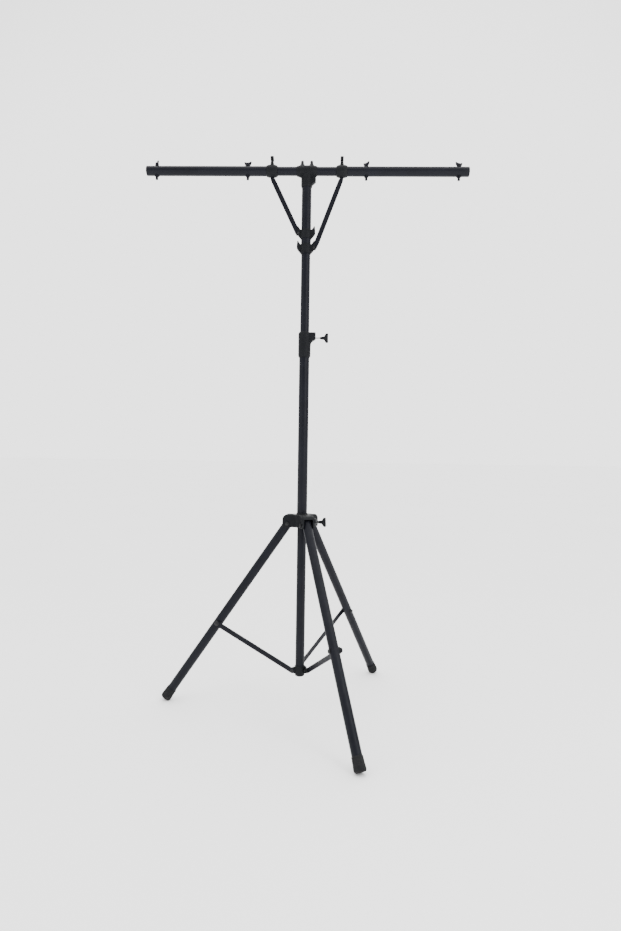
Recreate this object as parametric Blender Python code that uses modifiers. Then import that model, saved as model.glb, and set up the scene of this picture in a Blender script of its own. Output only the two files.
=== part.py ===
"""Lighting stand: a T-bar on a telescoping mast, carried by a folding tripod.

The stand is at rest as it is used: legs spread against their stops, mast part
way up, T-bar level.  Metres, +Z up.  The T-bar lies along X, and the mast axis
is parallel to Z.  The origin is on the floor, under the centre of the whole
stand's footprint, so the mast axis stands at (0, MAST_Y).
"""
import math

import bmesh
import bpy
from mathutils import Matrix, Vector

for old in list(bpy.data.objects):
    bpy.data.objects.remove(old, do_unlink=True)

# ---------------------------------------------------------------- dimensions
GAP = 0.0003                  # clearance between neighbouring pieces
SEG = 20                      # facets round a tube

# mast and column
MAST_Y = 0.0289               # the legs reach further towards -Y than +Y
COLUMN_R = 0.0191             # outer tube, 38 mm
COLUMN_BORE = 0.0176
COLUMN_Z = (0.7163, 1.3960)
POST_R = 0.0170               # centre post below the hub, 34 mm
POST_BORE = 0.0155
POST_Z = (0.1310, 1.0050)
UPPER_R = 0.0170              # sliding upper tube, 34 mm
UPPER_BORE = 0.0155
UPPER_Z = (1.2000, 2.0090)
COLLAR_Z = (1.3280, 1.4230)
COLLAR_R = 0.0234
COLLAR_SCREW_Z = 1.4020

# hub and legs
HUB_Z = (0.6870, 0.7348)
HUB_ARM = 0.0714              # reach of each hub arm from the mast axis
HUB_HALF = 0.0235             # half the width of a hub arm
HUB_SCREW_Z = 0.7075
HUB_KNOB_AZ = -8.0
PIVOT_R = 0.0530              # leg pivot, from the mast axis
PIVOT_Z = 0.7000
LEG_AZ = {"left": 173.5, "front": 293.0, "rear": 54.0}
LEG_TILT = math.radians(34.4)
LEG_R = 0.0170
LEG_BORE = 0.0156
LEG_TOP = 0.0090              # tube above the pivot
LEG_LEN = 0.8388              # pivot to the sole's centre
FOOT_LEN = 0.0450
FOOT_R = 0.0203

# braces
BRACE_S = 0.4705              # pivot to brace rivet, along the leg
BRACE_T = (0.0205, 0.0243)    # the brace lies beside the leg, this far out
BRACE_HALF = 0.0092
BRACKET_R = 0.0260            # lower pivots, from the mast axis
BRACKET_Z = 0.1500
RIVET_R = 0.0040

# T-bar
BAR_Z = 2.0320
BAR_R = 0.0162
BAR_BORE = 0.0147
BAR_HALF = 0.2050
ARM_R = 0.0180
ARM_BORE = 0.0165
ARM_X = (0.1220, 0.6066)
BAR_END = 0.6096              # half of the T-bar's 1.22 m
CLAMP_X = 0.1320
CLAMP_HALF = 0.0210
BOLT_X = (0.2240, 0.5710)     # hanging bolts on each arm
BOLT_TURN = {"left_inner": -12.0, "left_outer": -55.0, "right_inner": -48.0, "right_outer": 22.0}
BOLT_R = 0.0049               # hanging bolts, 10 mm
NUT_R, NUT_Z = 0.0086, -0.0215
SLEEVE_R = 0.0184
SLEEVE_BORE = 0.0173
SLEEVE_Z = (1.7180, 2.0110)
RING_Z = {"upper": 1.7970, "lower": 1.7420}

# --------------------------------------------------------------- collections
PARTS = bpy.data.collections.new("lighting_stand")
TOOLS = bpy.data.collections.new("lighting_stand_cutters")
bpy.context.scene.collection.children.link(PARTS)
bpy.context.scene.collection.children.link(TOOLS)


def material(name, colour, roughness, metallic):
    mat = bpy.data.materials.new(name)
    mat.use_nodes = True
    shader = mat.node_tree.nodes["Principled BSDF"]
    shader.inputs["Base Color"].default_value = (*colour, 1.0)
    shader.inputs["Roughness"].default_value = roughness
    shader.inputs["Metallic"].default_value = metallic
    mat.diffuse_color = (*colour, 1.0)
    return mat


PAINT = ("satin_black_paint", (0.020, 0.022, 0.026), 0.38, 0.0)
PLASTIC = ("moulded_black_plastic", (0.022, 0.024, 0.026), 0.55, 0.0)
RUBBER = ("black_rubber", (0.014, 0.014, 0.015), 0.80, 0.0)
ZINC = ("zinc_plated_steel", (0.42, 0.42, 0.43), 0.35, 1.0)
BLACK = ("black_plated_steel", (0.026, 0.026, 0.028), 0.40, 0.0)


# ------------------------------------------------------------------- helpers
def empty(name, parent=None, matrix=Matrix.Identity(4)):
    node = bpy.data.objects.new(name, None)
    node.empty_display_size = 0.03
    PARTS.objects.link(node)
    node.parent = parent
    node.matrix_basis = matrix
    return node


def add(name, mesh, parent, matrix=Matrix.Identity(4), look=None):
    """A named piece, with its own material."""
    obj = bpy.data.objects.new(name, mesh)
    PARTS.objects.link(obj)
    obj.parent = parent
    obj.matrix_basis = matrix
    if look:
        mesh.materials.append(material(name + "_" + look[0], *look[1:]))
    return obj


def tool(target, mesh, matrix=Matrix.Identity(4)):
    """A cutter or a lump to join, placed in its target's own frame."""
    obj = bpy.data.objects.new(target.name + "_tool", mesh)
    TOOLS.objects.link(obj)
    obj.parent = target
    obj.matrix_basis = matrix
    obj.hide_render = True
    obj.display_type = "WIRE"
    return obj


def combine(target, obj, operation):
    mod = target.modifiers.new(operation.lower(), "BOOLEAN")
    mod.operation = operation
    mod.solver = "EXACT"
    mod.object = obj


def cut(target, mesh, matrix=Matrix.Identity(4)):
    combine(target, tool(target, mesh, matrix), "DIFFERENCE")


def join(target, mesh, matrix=Matrix.Identity(4)):
    obj = tool(target, mesh, matrix)
    combine(target, obj, "UNION")
    return obj


def finish_mesh(bm, name, smooth=True):
    bmesh.ops.recalc_face_normals(bm, faces=bm.faces)
    mesh = bpy.data.meshes.new(name)
    bm.to_mesh(mesh)
    bm.free()
    if smooth:
        mesh.shade_smooth()
        mesh.set_sharp_from_angle(angle=math.radians(35))
    return mesh


def rod(radius, z0, z1, seg=SEG, top=None, turn=0.0):
    """A round, conical or six-sided rod along Z."""
    bm = bmesh.new()
    bmesh.ops.create_cone(bm, cap_ends=True, segments=seg, radius1=radius,
                          radius2=radius if top is None else top, depth=z1 - z0)
    bmesh.ops.rotate(bm, verts=bm.verts, cent=(0, 0, 0), matrix=Matrix.Rotation(turn, 3, "Z"))
    bmesh.ops.translate(bm, verts=bm.verts, vec=(0, 0, (z0 + z1) / 2))
    return finish_mesh(bm, "rod")


def block(low, high, bevel=0.0, segments=2):
    """A box between two corners, its edges rounded."""
    bm = bmesh.new()
    bmesh.ops.create_cube(bm, size=1.0)
    low, high = Vector(low), Vector(high)
    size = high - low
    bmesh.ops.scale(bm, verts=bm.verts, vec=size)
    bmesh.ops.translate(bm, verts=bm.verts, vec=(low + high) / 2)
    if bevel:
        bmesh.ops.bevel(bm, geom=bm.edges[:], offset=bevel, segments=segments,
                        profile=0.5, affect="EDGES", clamp_overlap=True)
    return finish_mesh(bm, "block", smooth=bool(bevel))


def turned(name, profile, parent, matrix, look, hollow=False, seg=SEG):
    """A turned piece: its profile lies at +X and runs down the outer side."""
    bm = bmesh.new()
    verts = [bm.verts.new((r, 0.0, z)) for r, z in profile]
    for a, b in zip(verts, verts[1:]):
        bm.edges.new((a, b))
    if hollow:
        bm.edges.new((verts[-1], verts[0]))
    mesh = bpy.data.meshes.new(name)
    bm.to_mesh(mesh)
    bm.free()
    obj = add(name, mesh, parent, matrix, look)
    mod = obj.modifiers.new("turn", "SCREW")
    mod.axis = "Z"
    mod.angle = math.tau
    mod.steps = mod.render_steps = seg
    mod.use_merge_vertices = True
    mod.merge_threshold = 0.00001
    return obj


def tube(name, outer, bore, z0, z1, parent, matrix, look, seg=SEG):
    """A tube along Z."""
    profile = [(bore, z1), (outer, z1), (outer, z0), (bore, z0)]
    return turned(name, profile, parent, matrix, look, hollow=True, seg=seg)


def flat(points, y0, y1, bevel=0.0):
    """A flat outline in the XZ plane, as thick as from y0 to y1."""
    data = bpy.data.curves.new("outline", "CURVE")
    data.dimensions = "2D"
    data.fill_mode = "BOTH"
    data.extrude = abs(y1 - y0) / 2
    spline = data.splines.new("POLY")
    spline.points.add(len(points) - 1)
    for point, (x, z) in zip(spline.points, points):
        point.co = (x, z, 0.0, 1.0)
    spline.use_cyclic_u = True
    obj = bpy.data.objects.new("outline", data)
    TOOLS.objects.link(obj)
    graph = bpy.context.evaluated_depsgraph_get()
    mesh = bpy.data.meshes.new_from_object(obj.evaluated_get(graph))
    bpy.data.objects.remove(obj, do_unlink=True)
    bm = bmesh.new()
    bm.from_mesh(mesh)
    bmesh.ops.remove_doubles(bm, verts=bm.verts, dist=0.00001)
    bmesh.ops.dissolve_limit(bm, angle_limit=0.001, verts=bm.verts, edges=bm.edges)
    if bevel:
        rims = [e for e in bm.edges if abs(e.verts[0].co.z - e.verts[1].co.z) < 1e-6]
        bmesh.ops.bevel(bm, geom=rims, offset=bevel, segments=1, profile=0.5, affect="EDGES",
                        clamp_overlap=True)
    bmesh.ops.rotate(bm, verts=bm.verts, cent=(0, 0, 0), matrix=Matrix.Rotation(math.pi / 2, 3, "X"))
    bmesh.ops.translate(bm, verts=bm.verts, vec=(0, (y0 + y1) / 2, 0))
    return finish_mesh(bm, "flat", smooth=False)


def arc(cx, cz, radius, a0, a1, n):
    """Points on an arc, angles in degrees."""
    return [(cx + radius * math.cos(math.radians(a0 + (a1 - a0) * i / n)),
             cz + radius * math.sin(math.radians(a0 + (a1 - a0) * i / n))) for i in range(n + 1)]


ALONG_X = Matrix.Rotation(math.pi / 2, 4, "Y")      # local +Z becomes +X
ALONG_Y = Matrix.Rotation(-math.pi / 2, 4, "X")     # local +Z becomes +Y


def shift(x=0.0, y=0.0, z=0.0):
    return Matrix.Translation((x, y, z))


# ------------------------------------------------------------------ the mast
MAST = empty("mast_axis", None, shift(0, MAST_Y, 0))
HERE = Matrix.Identity(4)

column = tube("column_tube", COLUMN_R, COLUMN_BORE, *COLUMN_Z, MAST, HERE, PAINT)
post_frame = empty("post_slide", MAST)
post = tube("post_tube", POST_R, POST_BORE, *POST_Z, post_frame, HERE, PAINT)

# The upper tube carries a plastic bush round its lower end, which guides it
# inside the column.
upper_frame = empty("upper_slide", MAST)
upper = tube("upper_tube", UPPER_R, UPPER_BORE, UPPER_Z[0], UPPER_Z[1], upper_frame, HERE, PAINT)
turned("upper_tube_bush",
       [(0.0, UPPER_Z[0] - 0.0005), (0.0168, UPPER_Z[0] - 0.0005), (0.0172, UPPER_Z[0] - 0.0015),
        (0.0172, UPPER_Z[0] - 0.0085), (0.0160, UPPER_Z[0] - 0.0100), (0.0, UPPER_Z[0] - 0.0100)],
       upper_frame, HERE, PLASTIC)
bush = bpy.data.objects["upper_tube_bush"]
join(bush, rod(0.0152, UPPER_Z[0] - 0.004, UPPER_Z[0] + 0.018))

# The locking collar: column in from below, upper tube in from above, and a
# boss towards +X for the clamp screw.
z0, z1 = COLLAR_Z
collar = turned("mast_collar",
                [(0.0, z1), (0.0200, z1), (0.0222, z1 - 0.0022), (COLLAR_R, z1 - 0.0080),
                 (COLLAR_R, z0 + 0.0090), (0.0226, z0 + 0.0030), (0.0209, z0), (0.0, z0)],
                MAST, HERE, PLASTIC)
join(collar, flat([(0.006, z1 - 0.0006), (0.0395, z1 - 0.0006), (0.0420, z1 - 0.0030),
                   (0.0420, z1 - 0.0240), (0.0395, z1 - 0.0278), (0.0300, z1 - 0.0335),
                   (0.0232, z1 - 0.0410), (0.0180, z1 - 0.0600), (0.006, z1 - 0.0600)],
                  -0.0120, 0.0120, bevel=0.0025))
cut(collar, rod(COLUMN_R + GAP, z0 - 0.01, COLUMN_Z[1] + GAP))
cut(collar, rod(UPPER_R + GAP, COLUMN_Z[1] - 0.01, z1 + 0.01))
cut(collar, rod(0.0043, 0.010, 0.060, seg=12), shift(0, 0, COLLAR_SCREW_Z) @ ALONG_X)


def clamp_handle(prefix, frame, tip, face, base, look, turn, neck):
    """A T-shaped clamp knob on a plated screw, pointing along the frame's +Z.

    tip is where the screw bears on the tube inside, base is the knob's small
    end and face the boss it stands off.  turn is the crossbar's angle from
    upright and neck the knob's radius where it meets the screw.
    """
    knob = turned(prefix + "_handle",
                  [(0.0, base + 0.0240), (0.0058, base + 0.0240), (0.0068, base + 0.0195),
                   (0.0050, base + 0.0130), (neck + 0.0004, base + 0.0012), (neck, base),
                   (0.0, base)], frame, HERE, PLASTIC, seg=16)
    side = [(0.0046, base + 0.0138), (0.0085, base + 0.0165), (0.0150, base + 0.0208),
            (0.0180, base + 0.0248), (0.0180, base + 0.0285), (0.0155, base + 0.0310)]
    join(knob, flat(side + [(-x, z) for x, z in reversed(side)], -0.0060, 0.0060, bevel=0.0022),
         Matrix.Rotation(math.radians(turn), 4, "Z"))
    cut(knob, rod(0.0028 + GAP, base - 0.01, base + 0.0170, seg=12))
    turned(prefix + "_screw",
           [(0.0, base + 0.0165), (0.0028, base + 0.0165), (0.0028, base - 0.0010),
            (0.0028, face), (0.0040, face - 0.0010), (0.0040, tip + 0.0010), (0.0032, tip),
            (0.0, tip)], frame, HERE, look, seg=12)
    return knob


collar_knob = empty("collar_clamp_axis", MAST, shift(0, 0, COLLAR_SCREW_Z) @ ALONG_X)
clamp_handle("collar_clamp", collar_knob, UPPER_R + GAP, 0.0440, 0.0583, ZINC, 8.0, 0.0038)

# ------------------------------------------------------------------- the hub
z0, z1 = HUB_Z
hub = add("hub_casting", rod(0.0335, z0, z1), MAST, HERE, PLASTIC)
for side, az in LEG_AZ.items():
    turn = Matrix.Rotation(math.radians(az), 4, "Z")
    arm = ([(0.0, z0), (HUB_ARM - 0.0030, z0), (HUB_ARM, z0 + 0.0030)]
           + arc(HUB_ARM - 0.0190, z1 - 0.0190, 0.0190, 0, 90, 6) + [(0.0, z1)])
    join(hub, flat(arm, -HUB_HALF, HUB_HALF, bevel=0.0035), turn)
join(hub, rod(0.0228, z1 - 0.004, z1 + 0.0045, top=0.0214))
knob_turn = Matrix.Rotation(math.radians(HUB_KNOB_AZ), 4, "Z")
join(hub, rod(0.0138, 0.0200, 0.0545, seg=16), knob_turn @ shift(0, 0, HUB_SCREW_Z) @ ALONG_X)
cut(hub, rod(COLUMN_R + GAP, COLUMN_Z[0] - GAP, z1 + 0.02))
cut(hub, rod(POST_R + 0.0004, z0 - 0.01, COLUMN_Z[0] + 0.01))
for side, az in LEG_AZ.items():
    turn = Matrix.Rotation(math.radians(az), 4, "Z")
    cut(hub, block((0.0334, -LEG_R - 0.0006, z0 - 0.03), (0.0900, LEG_R + 0.0006, 0.7206)), turn)
    cut(hub, rod(RIVET_R + GAP, -0.04, 0.04, seg=12), turn @ shift(PIVOT_R, 0, PIVOT_Z) @ ALONG_Y)
cut(hub, rod(0.0043, 0.010, 0.060, seg=12), knob_turn @ shift(0, 0, HUB_SCREW_Z) @ ALONG_X)

hub_knob = empty("hub_clamp_axis", MAST, knob_turn @ shift(0, 0, HUB_SCREW_Z) @ ALONG_X)
clamp_handle("hub_clamp", hub_knob, POST_R + GAP, 0.0560, 0.0610, BLACK, 22.0, 0.0045)


# ---------------------------------------------------------- legs and braces
def brace_ends():
    """Upper and lower brace pivots in a leg's own upright plane (r, z)."""
    top = (PIVOT_R + BRACE_S * math.sin(LEG_TILT), PIVOT_Z - BRACE_S * math.cos(LEG_TILT))
    return top, (BRACKET_R, BRACKET_Z)


(TOP_R, TOP_Z), (LOW_R, LOW_Z) = brace_ends()
BRACE_LEN = math.hypot(TOP_R - LOW_R, TOP_Z - LOW_Z)
BRACE_TILT = math.atan2(TOP_R - LOW_R, TOP_Z - LOW_Z)


def leg(side, az):
    plane = empty("plane_" + side, MAST, Matrix.Rotation(math.radians(az), 4, "Z"))

    # The bolt through the hub's two cheeks, with its nut.
    bolt = turned("leg_pivot_bolt_" + side,
                  [(0.0, 0.0325), (0.0030, 0.0325), (RIVET_R, 0.0315), (RIVET_R, -0.0250),
                   (0.0, -0.0250)],
                  plane, shift(PIVOT_R, 0, PIVOT_Z) @ ALONG_Y, BLACK, seg=12)
    join(bolt, rod(0.0075, -0.0287, -HUB_HALF - GAP, seg=6))
    join(bolt, rod(0.0075, HUB_HALF + GAP, 0.0302, seg=6, turn=0.3))

    # The leg hangs from its pivot along the frame's -Z.
    pivot = empty("leg_pivot_" + side, plane,
                  shift(PIVOT_R, 0, PIVOT_Z) @ Matrix.Rotation(-LEG_TILT, 4, "Y"))
    shank = tube("leg_tube_" + side, LEG_R, LEG_BORE, -(LEG_LEN - 0.0145), LEG_TOP, pivot, HERE, PAINT)
    cut(shank, rod(RIVET_R + GAP, -0.04, 0.04, seg=12), ALONG_Y)
    cut(shank, rod(RIVET_R + GAP, -0.04, 0.04, seg=12), shift(0, 0, -BRACE_S) @ ALONG_Y)

    # A rubber boot on the leg's end, cut flat where it stands.
    end = -LEG_LEN
    foot = turned("leg_foot_" + side,
                  [(LEG_R + GAP, end + FOOT_LEN), (0.0182, end + FOOT_LEN),
                   (0.0189, end + FOOT_LEN - 0.0012), (0.0193, end + 0.0300),
                   (FOOT_R, end + 0.0120), (FOOT_R, end + 0.0055), (0.0190, end + 0.0016),
                   (0.0168, end), (0.0, end), (0.0, end + 0.0142), (LEG_R + GAP, end + 0.0142)],
                  pivot, HERE, RUBBER, hollow=True)
    sole = block((-0.08, -0.08, -0.08), (0.08, 0.08, 0.0))
    cutter = tool(foot, sole)
    cutter.parent = plane
    cutter.matrix_basis = shift(PIVOT_R + LEG_LEN * math.sin(LEG_TILT), 0, 0)
    combine(foot, cutter, "DIFFERENCE")

    # A saddle washer between the round leg and the flat brace.
    spacer = add("brace_spacer_" + side, rod(0.0115, 0.0090, BRACE_T[0] - GAP, seg=16), pivot,
                 shift(0, 0, -BRACE_S) @ ALONG_Y, PLASTIC)
    cut(spacer, rod(LEG_R + GAP, -0.04, 0.04), ALONG_Y.inverted())
    cut(spacer, rod(RIVET_R + GAP, -0.01, 0.04, seg=12))

    rivet = turned("brace_rivet_" + side,
                   [(0.0, 0.0296), (0.0040, 0.0292), (0.0075, 0.0275), (0.0088, BRACE_T[1] + GAP),
                    (RIVET_R, BRACE_T[1] + GAP), (RIVET_R, -LEG_R - GAP - 0.0002),
                    (0.0084, -LEG_R - GAP - 0.0002), (0.0074, -0.0208), (0.0038, -0.0224), (0.0, -0.0226)],
                   pivot, shift(0, 0, -BRACE_S) @ ALONG_Y, BLACK, seg=16)

    # The brace hangs from the rivet towards the mast.
    hinge = empty("brace_pivot_" + side, plane,
                  shift(TOP_R, 0, TOP_Z) @ Matrix.Rotation(BRACE_TILT, 4, "Y"))
    outline = (arc(0, 0, 0.0106, 50, 130, 6) + [(-0.0102, -0.004), (-BRACE_HALF, -0.018)]
               + [(-BRACE_HALF, -BRACE_LEN + 0.010)] + arc(0, -BRACE_LEN, 0.0097, 200, 340, 8)
               + [(BRACE_HALF, -BRACE_LEN + 0.010)] + [(BRACE_HALF, -0.018), (0.0102, -0.004)])
    brace = add("brace_" + side, flat(outline, *BRACE_T), hinge, HERE, PAINT)
    cut(brace, rod(RIVET_R + GAP, 0.0, 0.04, seg=12), ALONG_Y)
    cut(brace, rod(0.0033, 0.0, 0.04, seg=12), shift(0, 0, -BRACE_LEN) @ ALONG_Y)
    turned("brace_pin_" + side,
           [(0.0, 0.0280), (0.0038, 0.0277), (0.0060, 0.0264), (0.0064, BRACE_T[1] + GAP),
            (0.0030, BRACE_T[1] + GAP), (0.0030, BRACE_T[0] + 0.0001), (0.0, BRACE_T[0] + 0.0001)],
           hinge, shift(0, 0, -BRACE_LEN) @ ALONG_Y, BLACK, seg=12)

    # The ear's half of the lower pivot.
    turned("bracket_pin_" + side,
           [(0.0, 0.0198), (0.0030, 0.0198), (0.0030, 0.0120 - GAP), (0.0050, 0.0120 - GAP),
            (0.0050, 0.0088), (0.0040, 0.0080), (0.0, 0.0080)],
           post_frame, plane.matrix_basis @ shift(BRACKET_R, 0, BRACKET_Z) @ ALONG_Y, BLACK, seg=12)
    return plane


planes = {side: leg(side, az) for side, az in LEG_AZ.items()}

# The bracket at the foot of the post: a cup with one ear beside each brace.
bracket = turned("bottom_bracket",
                 [(0.0, 0.1640), (0.0184, 0.1640), (0.0194, 0.1626), (0.0199, 0.1440),
                  (0.0194, 0.1335), (0.0165, 0.1266), (0.0115, 0.1244), (0.0, 0.1238)],
                 post_frame, HERE, PLASTIC)
for side, az in LEG_AZ.items():
    turn = Matrix.Rotation(math.radians(az), 4, "Z")
    ear = ([(0.0, BRACKET_Z + 0.0130), (0.0170, BRACKET_Z + 0.0130)]
           + arc(BRACKET_R, BRACKET_Z, 0.0095, 60, -90, 8) + [(0.0, BRACKET_Z - 0.0160)])
    join(bracket, flat(ear, 0.0120, 0.0200), turn)
cut(bracket, rod(POST_R + GAP, POST_Z[0] - GAP, 0.20))
for side, az in LEG_AZ.items():
    turn = Matrix.Rotation(math.radians(az), 4, "Z")
    cut(bracket, rod(0.0033, 0.0050, 0.03, seg=12), turn @ shift(BRACKET_R, 0, BRACKET_Z) @ ALONG_Y)

# --------------------------------------------------------------- the T-bar
swivel = empty("t_bar_swivel", upper_frame)
sleeve = tube("t_sleeve", SLEEVE_R, SLEEVE_BORE, *SLEEVE_Z, swivel, HERE, PAINT)
bar = tube("centre_bar", BAR_R, BAR_BORE, -BAR_HALF, BAR_HALF, swivel, shift(0, 0, BAR_Z) @ ALONG_X, PAINT)
for x in (-0.0175, 0.0175):
    cut(bar, rod(0.0033, -0.03, 0.03, seg=12), (shift(0, 0, BAR_Z) @ ALONG_X).inverted() @ shift(x, 0, BAR_Z))

# The tee: a saddle round the bar, a socket for the sleeve and a screw boss.
tee_frame = shift(0, 0, BAR_Z)
tee = turned("tee_casting",
             [(0.0, 0.0385), (0.0178, 0.0385), (0.0188, 0.0365), (0.0212, 0.0240), (0.0212, -0.0240),
              (0.0188, -0.0365), (0.0178, -0.0385), (0.0, -0.0385)],
             swivel, tee_frame @ ALONG_X, PLASTIC)
back = ALONG_X.inverted()
join(tee, rod(0.0216, -0.0560, 0.0, seg=SEG), back)
join(tee, rod(0.0196, -0.0630, -0.0555, top=0.0216), back)
join(tee, flat([(0.004, -0.004), (0.0345, -0.004), (0.0345, -0.0395), (0.0310, -0.0430),
                (0.0190, -0.0530), (0.004, -0.0560)], -0.0110, 0.0110, bevel=0.0022), back)
join(tee, flat([(-0.0400, -0.0150), (-0.0200, -0.0248), (-0.0200, -0.0100), (-0.0400, -0.0100)],
               -0.0060, 0.0060, bevel=0.0010), back)
for x in (-0.0175, 0.0175):
    join(tee, rod(0.0150, 0.0140, 0.0262, seg=16, top=0.0072), back @ shift(x, 0, 0))
cut(tee, rod(BAR_R + GAP, -0.06, 0.06))
cut(tee, rod(SLEEVE_R + GAP, -0.08, -0.0203), back)
for x in (-0.0175, 0.0175):
    cut(tee, rod(0.0033, -0.0190, 0.05, seg=12), back @ shift(x, 0, 0))
cut(tee, rod(0.0043, 0.010, 0.060, seg=12), back @ shift(0, 0, -0.0300) @ ALONG_X)

for side, x in (("left", -0.0175), ("right", 0.0175)):
    bolt = turned("tee_bolt_" + side,
                  [(0.0, 0.0405), (0.0026, 0.0401), (0.0044, 0.0387), (0.0054, 0.0364), (0.0056, 0.0330),
                   (0.0056, 0.0300), (0.0030, 0.0300),
                   (0.0030, -0.0178), (0.0024, -0.0186), (0.0, -0.0186)],
                  swivel, tee_frame @ shift(x, 0, 0), BLACK, seg=12)
    join(bolt, rod(0.0064, 0.0265, 0.0325, seg=6))
turned("tee_clamp_screw",
       [(0.0, 0.0338), (0.0032, 0.0338), (0.0040, 0.0330), (0.0040, 0.0196), (0.0032, 0.0188), (0.0, 0.0188)],
       swivel, tee_frame @ shift(0, 0, -0.0300) @ ALONG_X, BLACK, seg=12)

# Two rings on the sleeve, each with a forked ear to the left and the right.
EAR = [(0.0, 0.0125), (0.0185, 0.0125), (0.0210, 0.0135), (0.0250, 0.0180), (0.0300, 0.0262),
       (0.0328, 0.0252), (0.0348, 0.0070), (0.0344, -0.0010), (0.0305, -0.0080), (0.0215, -0.0185),
       (0.0180, -0.0225), (0.0, -0.0225)]
STRUT_PIN_X = 0.0292
for level, z in RING_Z.items():
    frame = shift(0, 0, z)
    ring = turned("strut_ring_" + level,
                  [(0.0, 0.0125), (0.0201, 0.0125), (0.0209, 0.0117), (0.0209, -0.0207), (0.0201, -0.0215),
                   (0.0, -0.0215)], swivel, frame, PLASTIC)
    whole = EAR[1:-1] + [(-x, y) for x, y in reversed(EAR[1:-1])]
    join(ring, flat(whole, -0.0062, 0.0062))
    cut(ring, rod(SLEEVE_R + GAP, -0.05, 0.05))
    for sign in (-1, 1):
        cut(ring, block((0.0212 if sign > 0 else -0.06, -0.0022, -0.05),
                        (0.06 if sign > 0 else -0.0212, 0.0022, 0.05)))
    # Only the ear that carries a strut is drilled: the left one above, the right one below.
    used = -1 if level == "upper" else 1
    cut(ring, rod(0.0033, -0.02, 0.02, seg=12), shift(used * STRUT_PIN_X, 0, 0) @ ALONG_Y)


def ribbon(points, widths):
    """The outline of a flat strip that follows a line, each point with its half width."""
    left, right = [], []
    for i, (x, z) in enumerate(points):
        before = Vector(points[max(i - 1, 0)])
        after = Vector(points[min(i + 1, len(points) - 1)])
        d = (after - before).normalized()
        n = Vector((-d.y, d.x)) * widths[i]
        left.append((x + n.x, z + n.y))
        right.append((x - n.x, z - n.y))
    return left + right[::-1]


def strut(side, sign, ring):
    """A flat steel strut from the clamp's slot down to the ring's ear."""
    low_z = RING_Z[ring]
    top = (sign * CLAMP_X, BAR_Z - 0.0192)
    neck = (sign * (CLAMP_X - 0.0002), BAR_Z - 0.0250)
    bend = (sign * 0.0415, low_z + 0.0230)
    low = (sign * STRUT_PIN_X, low_z)
    line, widths = [top, neck], [0.0060, 0.0060]
    steps = 6
    for i in range(1, steps + 1):
        t = 0.035 if i == 1 else (i - 1) / (steps - 1)
        line.append((neck[0] + (bend[0] - neck[0]) * t, neck[1] + (bend[1] - neck[1]) * t))
        widths.append(0.0084 if i == 1 else 0.0092)
    line += [(sign * 0.0350, low_z + 0.0085), (sign * 0.0318, low_z), (sign * 0.0300, low_z - 0.0075)]
    widths += [0.0090, 0.0080, 0.0052]
    obj = add("strut_" + side, flat(ribbon(line, widths), -0.0018, 0.0018),
              swivel, HERE, PAINT)
    cut(obj, rod(0.0033, -0.02, 0.02, seg=12), shift(low[0], 0, low[1]) @ ALONG_Y)
    turned("strut_pin_" + side,
           [(0.0, 0.0090), (0.0035, 0.0086), (0.0050, 0.0062 + GAP), (0.0030, 0.0062 + GAP),
            (0.0030, -0.0062 - GAP), (0.0050, -0.0062 - GAP), (0.0035, -0.0086), (0.0, -0.0090)],
           swivel, shift(low[0], 0, low[1]) @ ALONG_Y, BLACK, seg=12)


strut("left", -1, "upper")
strut("right", 1, "lower")


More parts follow.
